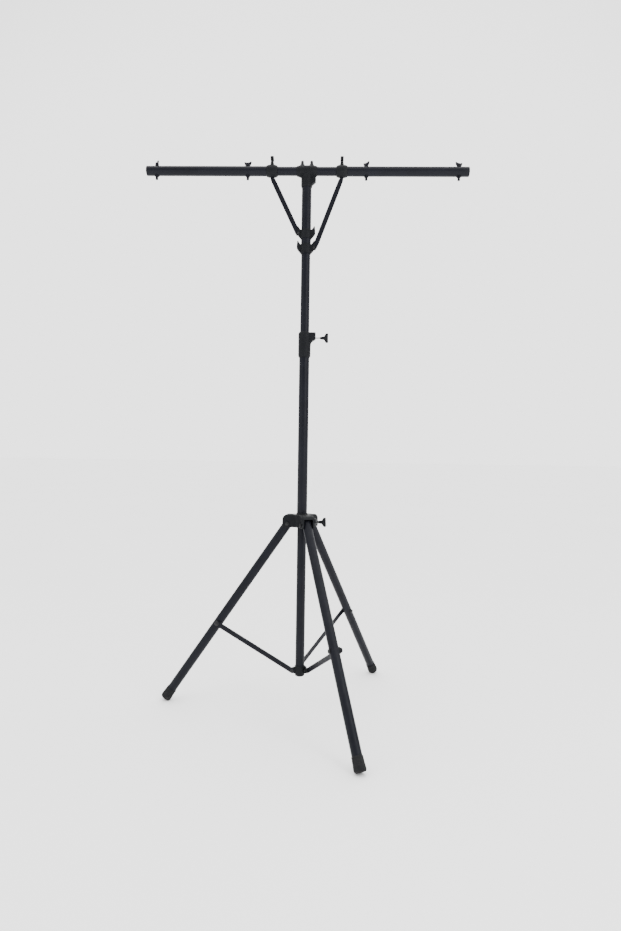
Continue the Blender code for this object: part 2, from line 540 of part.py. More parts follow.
def t_half(side, turn):
    """One half of the T-bar: clamp, clamp knob, side arm, end cap, hanging bolts."""
    half = empty("t_bar_" + side, swivel, Matrix.Rotation(turn, 4, "Z"))
    axis = shift(0, 0, BAR_Z) @ ALONG_X
    a, b = CLAMP_X - CLAMP_HALF, CLAMP_X + CLAMP_HALF
    clamp = turned("bar_clamp_" + side,
                   [(0.0, b), (0.0190, b), (0.0205, b - 0.0020), (0.0225, b - 0.0085), (0.0235, CLAMP_X + 0.0060),
                    (0.0235, CLAMP_X - 0.0060), (0.0225, a + 0.0085), (0.0195, a + 0.0012), (0.0180, a), (0.0, a)],
                   half, axis, PLASTIC)
    cut(clamp, rod(BAR_R + GAP, a - 0.01, b + 0.01))
    cut(clamp, rod(ARM_R + GAP, ARM_X[0] - GAP, b + 0.01))
    up = axis.inverted() @ shift(CLAMP_X, 0, BAR_Z)
    cut(clamp, rod(0.0043, 0.005, 0.04, seg=12), up)
    cut(clamp, block((-0.0065, -0.0022, -0.04), (0.0065, 0.0022, -0.0184)), up)

    # The clamp's knob, its crossbar square to the bar.
    frame = empty("bar_clamp_axis_" + side, half, shift(CLAMP_X, 0, BAR_Z))
    knob = turned("bar_clamp_handle_" + side,
                  [(0.0, 0.0440), (0.0052, 0.0440), (0.0054, 0.0360), (0.0068, 0.0275), (0.0084, 0.0240),
                   (0.0040, 0.0240), (0.0040, 0.0193), (0.0032, ARM_R + GAP), (0.0, ARM_R + GAP)],
                  frame, HERE, PLASTIC, seg=16)
    join(knob, flat(arc(0.0125, 0.0470, 0.0050, -60, 90, 5) + arc(0.0, 0.0440, 0.0142, 84, 96, 2)
                    + arc(-0.0125, 0.0470, 0.0050, 90, 240, 5) + [(-0.0050, 0.0385), (0.0050, 0.0385)],
                    -0.0060, 0.0060, bevel=0.0028), Matrix.Rotation(math.pi / 2, 4, "Z"))

    # The side arm slides over the bar's end; a nut is welded under each bolt.
    slide = empty("arm_slide_" + side, half)
    arm = tube("arm_tube_" + side, ARM_R, ARM_BORE, *ARM_X, slide, axis, PAINT)
    for x in BOLT_X:
        down = axis.inverted() @ shift(x, 0, BAR_Z)
        join(arm, rod(NUT_R, NUT_Z, -0.0169, seg=6), down)
        cut(arm, rod(BOLT_R + 0.0005, -0.04, 0.04, seg=12), down)
    cap = turned("arm_cap_" + side,
                 [(0.0, BAR_END), (0.0160, BAR_END), (0.0178, BAR_END - 0.0010), (0.0180, ARM_X[1] + GAP),
                  (ARM_BORE - GAP, ARM_X[1] + GAP), (ARM_BORE - GAP, ARM_X[1] - 0.0120),
                  (0.0145, ARM_X[1] - 0.0130), (0.0, ARM_X[1] - 0.0130)], slide, axis, PLASTIC)

    for place, x in zip(("inner", "outer"), BOLT_X):
        name = side + "_" + place
        spin = empty("hanging_bolt_axis_" + name, slide,
                     shift(x, 0, BAR_Z) @ Matrix.Rotation(math.radians(BOLT_TURN[name]) - turn, 4, "Z"))
        bolt = turned("wing_bolt_" + name,
                      [(0.0, 0.0310), (0.0052, 0.0310), (0.0066, 0.0280), (0.0076, ARM_R + GAP),
                       (BOLT_R, ARM_R + GAP), (BOLT_R, -0.0318), (0.0038, -0.0332), (0.0, -0.0332)],
                      spin, HERE, PAINT, seg=12)
        wing = [(0.0, 0.0212), (0.0092, 0.0208), (0.0116, 0.0238), (0.0146, 0.0322), (0.0138, 0.0346),
                (0.0108, 0.0350), (0.0050, 0.0326)]
        wing = wing + [(-x2, z2) for x2, z2 in reversed(wing[1:])]
        join(bolt, flat(wing, -0.0024, 0.0024))


t_half("right", 0.0)
t_half("left", math.pi)
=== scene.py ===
import math
import random

import bmesh
import bpy
from mathutils import Matrix, Vector, noise


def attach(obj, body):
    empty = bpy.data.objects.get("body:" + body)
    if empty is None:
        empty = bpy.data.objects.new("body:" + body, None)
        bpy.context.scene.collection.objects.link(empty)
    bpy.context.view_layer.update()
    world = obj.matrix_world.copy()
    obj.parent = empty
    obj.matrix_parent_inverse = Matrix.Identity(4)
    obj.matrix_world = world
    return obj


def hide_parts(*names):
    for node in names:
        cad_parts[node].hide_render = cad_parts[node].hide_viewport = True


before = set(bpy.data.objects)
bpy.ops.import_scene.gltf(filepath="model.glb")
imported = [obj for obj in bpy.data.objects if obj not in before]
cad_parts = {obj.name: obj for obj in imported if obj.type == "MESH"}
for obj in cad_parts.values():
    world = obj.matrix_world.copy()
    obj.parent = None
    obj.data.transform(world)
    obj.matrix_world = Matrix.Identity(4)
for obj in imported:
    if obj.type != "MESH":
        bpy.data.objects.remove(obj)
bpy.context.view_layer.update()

COARSE = 1.0
random.seed(4)

# ---------------------------------------------------------------- dimensions
GAP = 0.0003
SEG = 64
MAST_Y = 0.0289
COLUMN_R, COLUMN_BORE, COLUMN_Z = 0.0191, 0.0176, (0.7163, 1.3960)
POST_R, POST_BORE, POST_Z = 0.0170, 0.0155, (0.1310, 1.0050)
UPPER_R, UPPER_BORE, UPPER_Z = 0.0170, 0.0155, (1.2000, 2.0090)
COLLAR_Z, COLLAR_R, COLLAR_SCREW_Z = (1.3280, 1.4230), 0.0234, 1.4020
HUB_Z, HUB_ARM, HUB_HALF, HUB_SCREW_Z, HUB_KNOB_AZ = (0.6870, 0.7348), 0.0714, 0.0235, 0.7075, -8.0
PIVOT_R, PIVOT_Z = 0.0530, 0.7000
LEG_AZ = {"left": 173.5, "front": 293.0, "rear": 54.0}
LEG_TILT = math.radians(34.4)
LEG_R, LEG_BORE, LEG_TOP, LEG_LEN, FOOT_LEN, FOOT_R = 0.0170, 0.0156, 0.0090, 0.8388, 0.0450, 0.0203
BRACE_S, BRACE_T, BRACE_HALF = 0.4705, (0.0205, 0.0243), 0.0092
BRACKET_R, BRACKET_Z, RIVET_R = 0.0260, 0.1500, 0.0040
BAR_Z, BAR_R, BAR_BORE, BAR_HALF = 2.0320, 0.0162, 0.0147, 0.2050
ARM_R, ARM_BORE, ARM_X, BAR_END = 0.0180, 0.0165, (0.1220, 0.6066), 0.6096
CLAMP_X, CLAMP_HALF, BOLT_X = 0.1320, 0.0210, (0.2240, 0.5710)
BOLT_TURN = {"left_inner": -12.0, "left_outer": -55.0, "right_inner": -48.0, "right_outer": 22.0}
BOLT_R, NUT_R, NUT_Z = 0.0049, 0.0086, -0.0215
SLEEVE_R, SLEEVE_BORE, SLEEVE_Z = 0.0184, 0.0173, (1.7180, 2.0110)
RING_Z, STRUT_PIN_X = {"upper": 1.7970, "lower": 1.7420}, 0.0292

HERE = Matrix.Identity(4)
ALONG_X = Matrix.Rotation(math.pi / 2, 4, "Y")
ALONG_Y = Matrix.Rotation(-math.pi / 2, 4, "X")


def shift(x=0.0, y=0.0, z=0.0):
    return Matrix.Translation((x, y, z))


def spin(degrees):
    return Matrix.Rotation(math.radians(degrees), 4, "Z")


MAST = shift(0, MAST_Y, 0)


# ----------------------------------------------------------------- materials
class Nodes:
    """A small helper that lays out a material's nodes."""

    def __init__(self, name):
        self.mat = bpy.data.materials.new(name)
        self.mat.use_nodes = True
        self.tree = self.mat.node_tree
        self.shader = self.tree.nodes["Principled BSDF"]
        self.coords = self.node("ShaderNodeTexCoord").outputs["Object"]

    def node(self, kind, **settings):
        made = self.tree.nodes.new(kind)
        for key, value in settings.items():
            setattr(made, key, value)
        return made

    def link(self, a, b):
        self.tree.links.new(a, b)

    def noise(self, scale, detail=3.0, rough=0.55, stretch=None):
        made = self.node("ShaderNodeTexNoise")
        made.inputs["Scale"].default_value = scale
        made.inputs["Detail"].default_value = detail
        made.inputs["Roughness"].default_value = rough
        if stretch:
            mapping = self.node("ShaderNodeMapping")
            mapping.inputs["Scale"].default_value = stretch
            self.link(self.coords, mapping.inputs["Vector"])
            self.link(mapping.outputs["Vector"], made.inputs["Vector"])
        else:
            self.link(self.coords, made.inputs["Vector"])
        return made.outputs["Fac"]

    def span(self, value, a0, a1, b0, b1):
        made = self.node("ShaderNodeMapRange")
        made.inputs["From Min"].default_value = a0
        made.inputs["From Max"].default_value = a1
        made.inputs["To Min"].default_value = b0
        made.inputs["To Max"].default_value = b1
        self.link(value, made.inputs["Value"])
        return made.outputs["Result"]

    def maths(self, operation, a, b):
        made = self.node("ShaderNodeMath", operation=operation)
        for socket, value in zip(made.inputs, (a, b)):
            if isinstance(value, (int, float)):
                socket.default_value = value
            else:
                self.link(value, socket)
        return made.outputs[0]

    def ramp(self, value, stops):
        made = self.node("ShaderNodeValToRGB")
        ramp = made.color_ramp
        while len(ramp.elements) < len(stops):
            ramp.elements.new(0.5)
        for element, (place, colour) in zip(ramp.elements, stops):
            element.position = place
            element.color = (*colour, 1.0)
        self.link(value, made.inputs["Fac"])
        return made.outputs["Color"]

    def blend(self, factor, a, b):
        made = self.node("ShaderNodeMix", data_type="RGBA")
        self.link(factor, made.inputs["Factor"])
        a_in = [s for s in made.inputs if s.name == "A" and s.type == "RGBA"][0]
        b_in = [s for s in made.inputs if s.name == "B" and s.type == "RGBA"][0]
        for socket, value in ((a_in, a), (b_in, b)):
            if isinstance(value, tuple):
                socket.default_value = (*value, 1.0)
            else:
                self.link(value, socket)
        return [s for s in made.outputs if s.type == "RGBA"][0]

    def bump(self, value, strength, distance, under=None):
        made = self.node("ShaderNodeBump")
        made.inputs["Strength"].default_value = strength
        made.inputs["Distance"].default_value = distance
        self.link(value, made.inputs["Height"])
        if under is not None:
            self.link(under, made.inputs["Normal"])
        return made.outputs["Normal"]

    def up(self, a0, a1):
        """How far a face looks upwards."""
        geometry = self.node("ShaderNodeNewGeometry")
        split = self.node("ShaderNodeSeparateXYZ")
        self.link(geometry.outputs["Normal"], split.inputs["Vector"])
        return self.span(split.outputs["Z"], a0, a1, 0.0, 1.0)


def satin_paint():
    """Satin black powder coat on steel: a fine orange peel, faint scuffs and a little dust."""
    n = Nodes("satin_black_paint_finish")
    patch = n.noise(14.0, 4.0)
    base = n.ramp(patch, [(0.30, (0.0034, 0.0038, 0.0066)), (0.70, (0.0056, 0.0062, 0.0100))])
    dust = n.maths("MULTIPLY", n.up(0.25, 1.0), n.span(n.noise(55.0, 6.0, 0.65), 0.46, 0.74, 0.0, 0.30))
    base = n.blend(dust, base, (0.034, 0.034, 0.034))
    scuff = n.span(n.noise(160.0, 5.0, 0.7, (1.0, 1.0, 0.12)), 0.66, 0.78, 0.0, 0.55)
    base = n.blend(scuff, base, (0.024, 0.025, 0.028))
    n.link(base, n.shader.inputs["Base Color"])
    rough = n.span(n.noise(48.0, 5.0, 0.6), 0.3, 0.7, 0.37, 0.50)
    rough = n.maths("ADD", rough, n.maths("MULTIPLY", scuff, 0.16))
    n.link(rough, n.shader.inputs["Roughness"])
    n.shader.inputs["Specular IOR Level"].default_value = 0.12
    peel = n.bump(n.noise(620.0, 2.0, 0.5), 0.22, 0.0004)
    n.link(n.bump(n.noise(38.0, 2.0), 0.05, 0.002, peel), n.shader.inputs["Normal"])
    return n.mat


def moulded_plastic():
    """Moulded black nylon with a fine spark grain."""
    n = Nodes("moulded_black_plastic_finish")
    base = n.ramp(n.noise(22.0, 4.0), [(0.30, (0.0044, 0.0049, 0.0062)), (0.72, (0.0070, 0.0076, 0.0092))])
    dust = n.maths("MULTIPLY", n.up(0.2, 1.0), n.span(n.noise(80.0, 6.0, 0.65), 0.42, 0.72, 0.0, 0.34))
    n.link(n.blend(dust, base, (0.032, 0.032, 0.032)), n.shader.inputs["Base Color"])
    n.link(n.span(n.noise(70.0, 5.0, 0.6), 0.3, 0.7, 0.50, 0.64), n.shader.inputs["Roughness"])
    n.shader.inputs["Specular IOR Level"].default_value = 0.10
    grain = n.node("ShaderNodeTexVoronoi", feature="F1")
    grain.inputs["Scale"].default_value = 1500.0
    n.link(n.coords, grain.inputs["Vector"])
    fine = n.bump(grain.outputs["Distance"], 0.20, 0.0004)
    n.link(n.bump(n.noise(240.0, 3.0), 0.14, 0.0008, fine), n.shader.inputs["Normal"])
    return n.mat


def rubber():
    """Matte rubber, greyed with floor dust towards the sole."""
    n = Nodes("black_rubber_finish")
    base = n.ramp(n.noise(30.0, 4.0), [(0.30, (0.0068, 0.0071, 0.0080)), (0.72, (0.0105, 0.0109, 0.0120))])
    split = n.node("ShaderNodeSeparateXYZ")
    n.link(n.coords, split.inputs["Vector"])
    near = n.span(split.outputs["Z"], 0.000, 0.020, 0.55, 0.05)
    dust = n.maths("MULTIPLY", near, n.span(n.noise(140.0, 6.0, 0.7), 0.38, 0.70, 0.0, 1.0))
    n.link(n.blend(dust, base, (0.080, 0.077, 0.073)), n.shader.inputs["Base Color"])
    n.link(n.span(n.noise(110.0, 4.0), 0.3, 0.7, 0.72, 0.88), n.shader.inputs["Roughness"])
    n.shader.inputs["Specular IOR Level"].default_value = 0.13
    n.link(n.bump(n.noise(700.0, 3.0, 0.6), 0.30, 0.0006), n.shader.inputs["Normal"])
    return n.mat


def plated(name, dark, light, metallic, low_rough, high_rough, level):
    """Plated fasteners, with slight tarnish."""
    n = Nodes(name)
    n.link(n.ramp(n.noise(190.0, 5.0, 0.6), [(0.32, dark), (0.70, light)]), n.shader.inputs["Base Color"])
    n.shader.inputs["Metallic"].default_value = metallic
    n.shader.inputs["Specular IOR Level"].default_value = level
    n.link(n.span(n.noise(310.0, 4.0), 0.3, 0.7, low_rough, high_rough), n.shader.inputs["Roughness"])
    n.link(n.bump(n.noise(1400.0, 3.0), 0.16, 0.0003), n.shader.inputs["Normal"])
    return n.mat


PAINT, PLASTIC, RUBBER = "satin_black_paint", "moulded_black_plastic", "black_rubber"
ZINC, BLACK = "zinc_plated_steel", "black_plated_steel"
FINISH = {
    PAINT: satin_paint(),
    PLASTIC: moulded_plastic(),
    RUBBER: rubber(),
    ZINC: plated("zinc_plated_steel_finish", (0.34, 0.34, 0.345), (0.50, 0.495, 0.485), 1.0, 0.26, 0.42, 0.5),
    BLACK: plated("black_plated_steel_finish", (0.0070, 0.0072, 0.0084), (0.0125, 0.0128, 0.0142), 0.0, 0.38, 0.52, 0.22),
}


# ------------------------------------------------------------------- shapes
def settle(mesh, angle=38.0, weighted=False):
    """Faces outwards, smooth shading with crisp edges kept."""
    bm = bmesh.new()
    bm.from_mesh(mesh)
    bmesh.ops.recalc_face_normals(bm, faces=bm.faces)
    bm.to_mesh(mesh)
    bm.free()
    mesh.shade_smooth()
    mesh.set_sharp_from_angle(angle=math.radians(angle))
    return mesh


def solid(verts, faces, name="shape"):
    mesh = bpy.data.meshes.new(name)
    mesh.from_pydata(verts, [], faces)
    return settle(mesh)


def rounded(points, closed=False, n=4):
    """A path whose corners are rounded where a point carries a radius."""
    out, count = [], len(points)
    for i, p in enumerate(points):
        r = p[2] if len(p) > 2 else 0.0
        if not r or (not closed and i in (0, count - 1)):
            out.append((p[0], p[1]))
            continue
        b = Vector(p[:2])
        u, v = Vector(points[i - 1][:2]) - b, Vector(points[(i + 1) % count][:2]) - b
        lu, lv = u.length, v.length
        u.normalize()
        v.normalize()
        angle = u.angle(v)
        if angle > math.pi - 0.01:
            out.append((p[0], p[1]))
            continue
        t = min(r / math.tan(angle / 2), 0.48 * lu, 0.48 * lv)
        rr = t * math.tan(angle / 2)
        c = b + (u + v).normalized() * (rr / math.sin(angle / 2))
        s, e = b + u * t - c, b + v * t - c
        a0, a1 = math.atan2(s.y, s.x), math.atan2(e.y, e.x)
        d = (a1 - a0 + math.pi) % math.tau - math.pi
        out += [(c.x + rr * math.cos(a0 + d * k / n), c.y + rr * math.sin(a0 + d * k / n)) for k in range(n + 1)]
    return out


def lathe(profile, seg=SEG, closed=False):
    """A turned shape about Z.  Its profile (radius, height) may carry corner radii."""
    verts, rings = [], []
    for r, z in rounded(profile, closed):
        if r < 1e-6:
            rings.append([len(verts)])
            verts.append((0.0, 0.0, z))
        else:
            rings.append(list(range(len(verts), len(verts) + seg)))
            verts += [(r * math.cos(math.tau * k / seg), r * math.sin(math.tau * k / seg), z) for k in range(seg)]
    faces = []
    pairs = list(zip(rings, rings[1:])) + ([(rings[-1], rings[0])] if closed else [])
    for a, b in pairs:
        if len(a) == 1 and len(b) == 1:
            continue
        for k in range(seg):
            m = (k + 1) % seg
            if len(a) == 1:
                faces.append((a[0], b[k], b[m]))
            elif len(b) == 1:
                faces.append((a[k], a[m], b[0]))
            else:
                faces.append((a[k], a[m], b[m], b[k]))
    return solid(verts, faces)


def tube(outer, bore, z0, z1, near=(), seg=SEG, lip=0.0004):
    """A tube with softened ends, and closer rings round the places named in near."""
    marks = sorted(set([z for c in near for z in (c - 0.012, c + 0.012)]), reverse=True)
    marks = [z for z in marks if z0 + 0.003 < z < z1 - 0.003]
    out = [(outer, z1, lip)] + [(outer, z) for z in marks] + [(outer, z0, lip)]
    inner = [(bore, z0, lip)] + [(bore, z) for z in reversed(marks)] + [(bore, z1, lip)]
    return lathe(out + inner, seg, closed=True)


def rod(radius, z0, z1, seg=48, top=None, edge=0.0):
    top = radius if top is None else top
    return lathe([(0.0, z0), (radius, z0, edge), (top, z1, edge), (0.0, z1)], seg)


def plate(points, y0, y1, edge=0.0004, holes=(), steps=3):
    """A flat outline in the XZ plane, from y0 to y1, its rims rounded, with round holes (x, z, radius)."""
    data = bpy.data.curves.new("outline", "CURVE")
    data.dimensions = "2D"
    data.fill_mode = "BOTH"
    data.extrude = abs(y1 - y0) / 2 - edge
    data.bevel_depth = edge
    data.offset = -edge
    data.bevel_resolution = steps
    rims = [rounded(points, closed=True, n=6)]
    for x, z, r in holes:
        rims.append([(x + r * math.cos(math.tau * k / 32), z + r * math.sin(math.tau * k / 32)) for k in range(32)])
    for rim in rims:
        spline = data.splines.new("POLY")
        spline.points.add(len(rim) - 1)
        for point, (x, z) in zip(spline.points, rim):
            point.co = (x, z, 0.0, 1.0)
        spline.use_cyclic_u = True
    obj = bpy.data.objects.new("outline", data)
    bpy.context.scene.collection.objects.link(obj)
    graph = bpy.context.evaluated_depsgraph_get()
    mesh = bpy.data.meshes.new_from_object(obj.evaluated_get(graph))
    bpy.data.objects.remove(obj, do_unlink=True)
    bpy.data.curves.remove(data)
    bm = bmesh.new()
    bm.from_mesh(mesh)
    bmesh.ops.remove_doubles(bm, verts=bm.verts, dist=0.000002)
    bmesh.ops.rotate(bm, verts=bm.verts, cent=(0, 0, 0), matrix=Matrix.Rotation(math.pi / 2, 3, "X"))
    bmesh.ops.translate(bm, verts=bm.verts, vec=(0, (y0 + y1) / 2, 0))
    bm.to_mesh(mesh)
    bm.free()
    mesh.materials.clear()
    return settle(mesh)


def chunk(points, y0, y1, edge=0.0, steps=4):
    """A thick outline in the XZ plane with well rounded rims, for castings."""
    bm = bmesh.new()
    loop = [bm.verts.new((x, y0, z)) for x, z in rounded(points, closed=True, n=4)]
    face = bm.faces.new(loop)
    made = bmesh.ops.extrude_face_region(bm, geom=[face])
    bmesh.ops.translate(bm, verts=[v for v in made["geom"] if isinstance(v, bmesh.types.BMVert)], vec=(0, y1 - y0, 0))
    bmesh.ops.recalc_face_normals(bm, faces=bm.faces)
    if edge:
        rims = [e for e in bm.edges if abs(e.verts[0].co.y - e.verts[1].co.y) < 1e-7]
        bmesh.ops.bevel(bm, geom=rims, offset=edge, segments=steps, profile=0.5, affect="EDGES", clamp_overlap=True)
    mesh = bpy.data.meshes.new("chunk")
    bm.to_mesh(mesh)
    bm.free()
    return settle(mesh)


def block(lo3, hi3):
    x0, y0, z0 = lo3
    x1, y1, z1 = hi3
    verts = [(x, y, z) for z in (z0, z1) for y in (y0, y1) for x in (x0, x1)]
    return solid(verts, [(0, 1, 3, 2), (4, 5, 7, 6), (0, 1, 5, 4), (2, 3, 7, 6), (0, 2, 6, 4), (1, 3, 7, 5)])


def hexagon(radius, z0, z1, edge=0.0004, bore=0.0):
    """A hexagon nut or head with its corners turned off."""
    bm = bmesh.new()
    bmesh.ops.create_cone(bm, cap_ends=True, segments=6, radius1=radius, radius2=radius, depth=z1 - z0)
    bmesh.ops.translate(bm, verts=bm.verts, vec=(0, 0, (z0 + z1) / 2))
    mesh = bpy.data.meshes.new("hexagon")
    bm.to_mesh(mesh)
    bm.free()
    settle(mesh)
    drop = radius * 0.10
    turned = lathe([(0.0, z0 - 0.0), (radius * 0.90, z0), (radius * 1.01, z0 + drop), (radius * 1.01, z1 - drop),
                    (radius * 0.90, z1), (0.0, z1)], 48)
    return shape(mesh, [("INTERSECT", turned, HERE)])


def worked(mesh, build):
    """The mesh of a throwaway object after its modifiers."""
    obj = bpy.data.objects.new("work", mesh)
    bpy.context.scene.collection.objects.link(obj)
    tools = build(obj)
    bpy.context.view_layer.update()
    graph = bpy.context.evaluated_depsgraph_get()
    made = bpy.data.meshes.new_from_object(obj.evaluated_get(graph))
    for used in [obj] + tools:
        bpy.data.objects.remove(used, do_unlink=True)
    made.materials.clear()
    return made


def booleans(mesh, steps):
    """Adds and takes away shapes, exactly."""
    def build(obj):
        tools = []
        for operation, other, matrix in steps:
            tool = bpy.data.objects.new("work_tool", other)
            bpy.context.scene.collection.objects.link(tool)
            tool.matrix_world = matrix
            tools.append(tool)
            mod = obj.modifiers.new("step", "BOOLEAN")
            mod.operation = operation
            mod.solver = "EXACT"
            mod.object = tool
        return tools
    made = worked(mesh, build)
    bm = bmesh.new()
    bm.from_mesh(made)
    bmesh.ops.remove_doubles(bm, verts=bm.verts, dist=0.0000004)
    bmesh.ops.dissolve_degenerate(bm, dist=0.0000004, edges=bm.edges)
    open_edges = [edge for edge in bm.edges if edge.is_boundary]
    if open_edges:
        bmesh.ops.holes_fill(bm, edges=open_edges, sides=0)
    bm.to_mesh(made)
    bm.free()
    return made


def shape(mesh, steps, grain=None, soften=4, keep=1.0):
    """Adds and takes away shapes.  With a grain, the result is flowed together like a casting."""
    if not grain:
        return settle(booleans(mesh, steps))
    lumps = [(mesh, HERE)] + [(other, matrix) for operation, other, matrix in steps if operation == "UNION"]
    cuts = [step for step in steps if step[0] == "DIFFERENCE"]
    carved = []
    for lump, matrix in lumps:
        lump = lump.copy()
        lump.transform(matrix)
        carved.append((settle(booleans(lump, cuts)), HERE))

    def build(obj):
        mod = obj.modifiers.new("flow", "REMESH")
        mod.mode = "VOXEL"
        mod.voxel_size = grain * COARSE
        mod.use_smooth_shade = True
        mod = obj.modifiers.new("soften", "SMOOTH")
        mod.factor = 0.5
        mod.iterations = soften
        if keep < 1.0:
            mod = obj.modifiers.new("thin", "DECIMATE")
            mod.ratio = keep
        return []
    return settle(worked(gather(*carved), build), 60.0)


def thread(radius, pitch, z0, z1, depth=0.0005, seg=24):
    """A threaded rod with a real helix, run out to a plain chamfer at both ends."""
    steps = max(8, int((z1 - z0) / pitch * 6))
    verts, faces = [], []
    for i in range(steps + 1):
        z = z0 + (z1 - z0) * i / steps
        fade = min(1.0, min(z - z0, z1 - z) / pitch)
        for k in range(seg):
            phase = (z / pitch - k / seg) % 1.0
            r = radius - depth * (1 - abs(2 * phase - 1)) * fade - 0.0006 * max(0.0, 1.0 - min(z - z0, z1 - z) / 0.0006)
            a = math.tau * k / seg
            verts.append((r * math.cos(a), r * math.sin(a), z))
    for i in range(steps):
        for k in range(seg):
            m = (k + 1) % seg
            faces.append((i * seg + k, i * seg + m, (i + 1) * seg + m, (i + 1) * seg + k))
    faces.append(tuple(reversed(range(seg))))
    faces.append(tuple(steps * seg + k for k in range(seg)))
    mesh = bpy.data.meshes.new("thread")
    mesh.from_pydata(verts, [], faces)
    return settle(mesh, 70.0)


def bead(path, radius, seg=12):
    """A weld bead along a closed path of (point, outward) pairs, slightly uneven."""
    count, verts, faces = len(path), [], []
    for i, (p, out) in enumerate(path):
        ahead = (Vector(path[(i + 1) % count][0]) - Vector(path[i - 1][0])).normalized()
        up = Vector(out).normalized()
        side = ahead.cross(up).normalized()
        r = radius * (1.0 + 0.13 * math.sin(i * math.tau * 14 / count) + 0.12 * noise.noise(Vector(p) * 900))
        for k in range(seg):
            a = math.tau * k / seg
            verts.append(Vector(p) + side * (r * math.cos(a)) + up * (r * 0.8 * math.sin(a)))
    for i in range(count):
        j = (i + 1) % count
        for k in range(seg):
            m = (k + 1) % seg
            faces.append((i * seg + k, i * seg + m, j * seg + m, j * seg + k))
    return solid([tuple(v) for v in verts], faces)


def gather(*parts):
    """Several closed shapes, each with its own matrix, in one mesh."""
    bm = bmesh.new()
    for mesh, matrix in parts:
        copy = mesh.copy()
        copy.transform(matrix)
        bm.from_mesh(copy)
        bpy.data.meshes.remove(copy)
    made = bpy.data.meshes.new("gathered")
    bm.to_mesh(made)
    bm.free()
    return made


def crisp(obj):
    """Large faces keep their own normals, so flat faces stay flat beside rounded rims."""
    mod = obj.modifiers.new("normals", "WEIGHTED_NORMAL")
    mod.keep_sharp = True
    mod.weight = 80
    graph = bpy.context.evaluated_depsgraph_get()
    made = bpy.data.meshes.new_from_object(obj.evaluated_get(graph))
    old = obj.data
    obj.modifiers.clear()
    obj.data = made
    bpy.data.meshes.remove(old)


PIECES = {}


def piece(node, mesh, matrix, body, slot, flat=False):
    """Sets a shape down in place of the frame's node of that name."""
    mesh = mesh.copy()
    mesh.name = node + "_shape"
    mesh.transform(matrix)
    mesh.materials.clear()
    mesh.materials.append(FINISH[slot])
    obj = bpy.data.objects.new(node + "_detail", mesh)
    bpy.context.scene.collection.objects.link(obj)
    if flat:
        bpy.context.view_layer.update()
        crisp(obj)
    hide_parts(node)
    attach(obj, body)
    PIECES[node] = obj
    return obj


def arc(cx, cz, radius, a0, a1, n):
    return [(cx + radius * math.cos(math.radians(a0 + (a1 - a0) * i / n)),
             cz + radius * math.sin(math.radians(a0 + (a1 - a0) * i / n))) for i in range(n + 1)]


# ------------------------------------------------------------------ the mast
piece("column_tube", tube(COLUMN_R, COLUMN_BORE, *COLUMN_Z), MAST, "base", PAINT)
piece("post_tube", tube(POST_R, POST_BORE, *POST_Z), MAST, "post", PAINT)
piece("upper_tube", tube(UPPER_R, UPPER_BORE, *UPPER_Z), MAST, "upper_mast", PAINT)
u = UPPER_Z[0]
piece("upper_tube_bush",
      gather((lathe([(0.0, u - 0.0005), (0.0168, u - 0.0005, 0.0003), (0.0172, u - 0.0015, 0.0004), (0.0172, u - 0.0040, 0.0002),
                     (0.0167, u - 0.0043, 0.0002), (0.0167, u - 0.0057, 0.0002), (0.0172, u - 0.0060, 0.0002),
                     (0.0172, u - 0.0085, 0.0008), (0.0160, u - 0.0100, 0.0004), (0.0, u - 0.0100)]), HERE),
             (rod(0.0152, u - 0.004, u + 0.018, edge=0.0006), HERE)),
      MAST, "upper_mast", PLASTIC)

z0, z1 = COLLAR_Z
collar = lathe([(0.0, z1), (0.0200, z1, 0.0006), (0.0222, z1 - 0.0022, 0.0010), (COLLAR_R, z1 - 0.0080, 0.0020),
                (COLLAR_R, z1 - 0.0440, 0.0004), (0.0228, z1 - 0.0446, 0.0003), (0.0228, z1 - 0.0462, 0.0003),
                (COLLAR_R, z1 - 0.0468, 0.0004), (COLLAR_R, z0 + 0.0200, 0.0004), (0.0228, z0 + 0.0194, 0.0003),
                (0.0228, z0 + 0.0178, 0.0003), (COLLAR_R, z0 + 0.0172, 0.0004), (COLLAR_R, z0 + 0.0090, 0.0020),
                (0.0226, z0 + 0.0030, 0.0008), (0.0209, z0, 0.0008), (0.0, z0)], 96)
boss = chunk([(0.006, z1 - 0.0006), (0.0395, z1 - 0.0006), (0.0420, z1 - 0.0030),
              (0.0420, z1 - 0.0240), (0.0395, z1 - 0.0278), (0.0300, z1 - 0.0335),
              (0.0232, z1 - 0.0410), (0.0180, z1 - 0.0600), (0.006, z1 - 0.0600)],
             -0.0120, 0.0120, 0.0024)
rib = chunk([(0.006, z1 - 0.0300), (0.0315, z1 - 0.0300), (0.0245, z1 - 0.0430), (0.0225, z1 - 0.0640),
             (0.006, z1 - 0.0640)], -0.0016, 0.0016, 0.0006, 2)
seat = shift(0, 0, COLLAR_SCREW_Z) @ ALONG_X
collar = shape(collar, [
    ("UNION", boss, HERE),
    ("UNION", rib, HERE),
    ("DIFFERENCE", rod(COLUMN_R + GAP, z0 - 0.01, COLUMN_Z[1] + GAP, 88), HERE),
    ("DIFFERENCE", rod(UPPER_R + GAP, COLUMN_Z[1] - 0.01, z1 + 0.01, 88), HERE),
    ("DIFFERENCE", lathe([(0.0, 0.012), (0.0043, 0.012), (0.0043, 0.0408), (0.0072, 0.0414), (0.0072, 0.05), (0.0, 0.05)]), seat),
], grain=0.00042, soften=3, keep=0.45)
piece("mast_collar", collar, MAST, "base", PLASTIC)


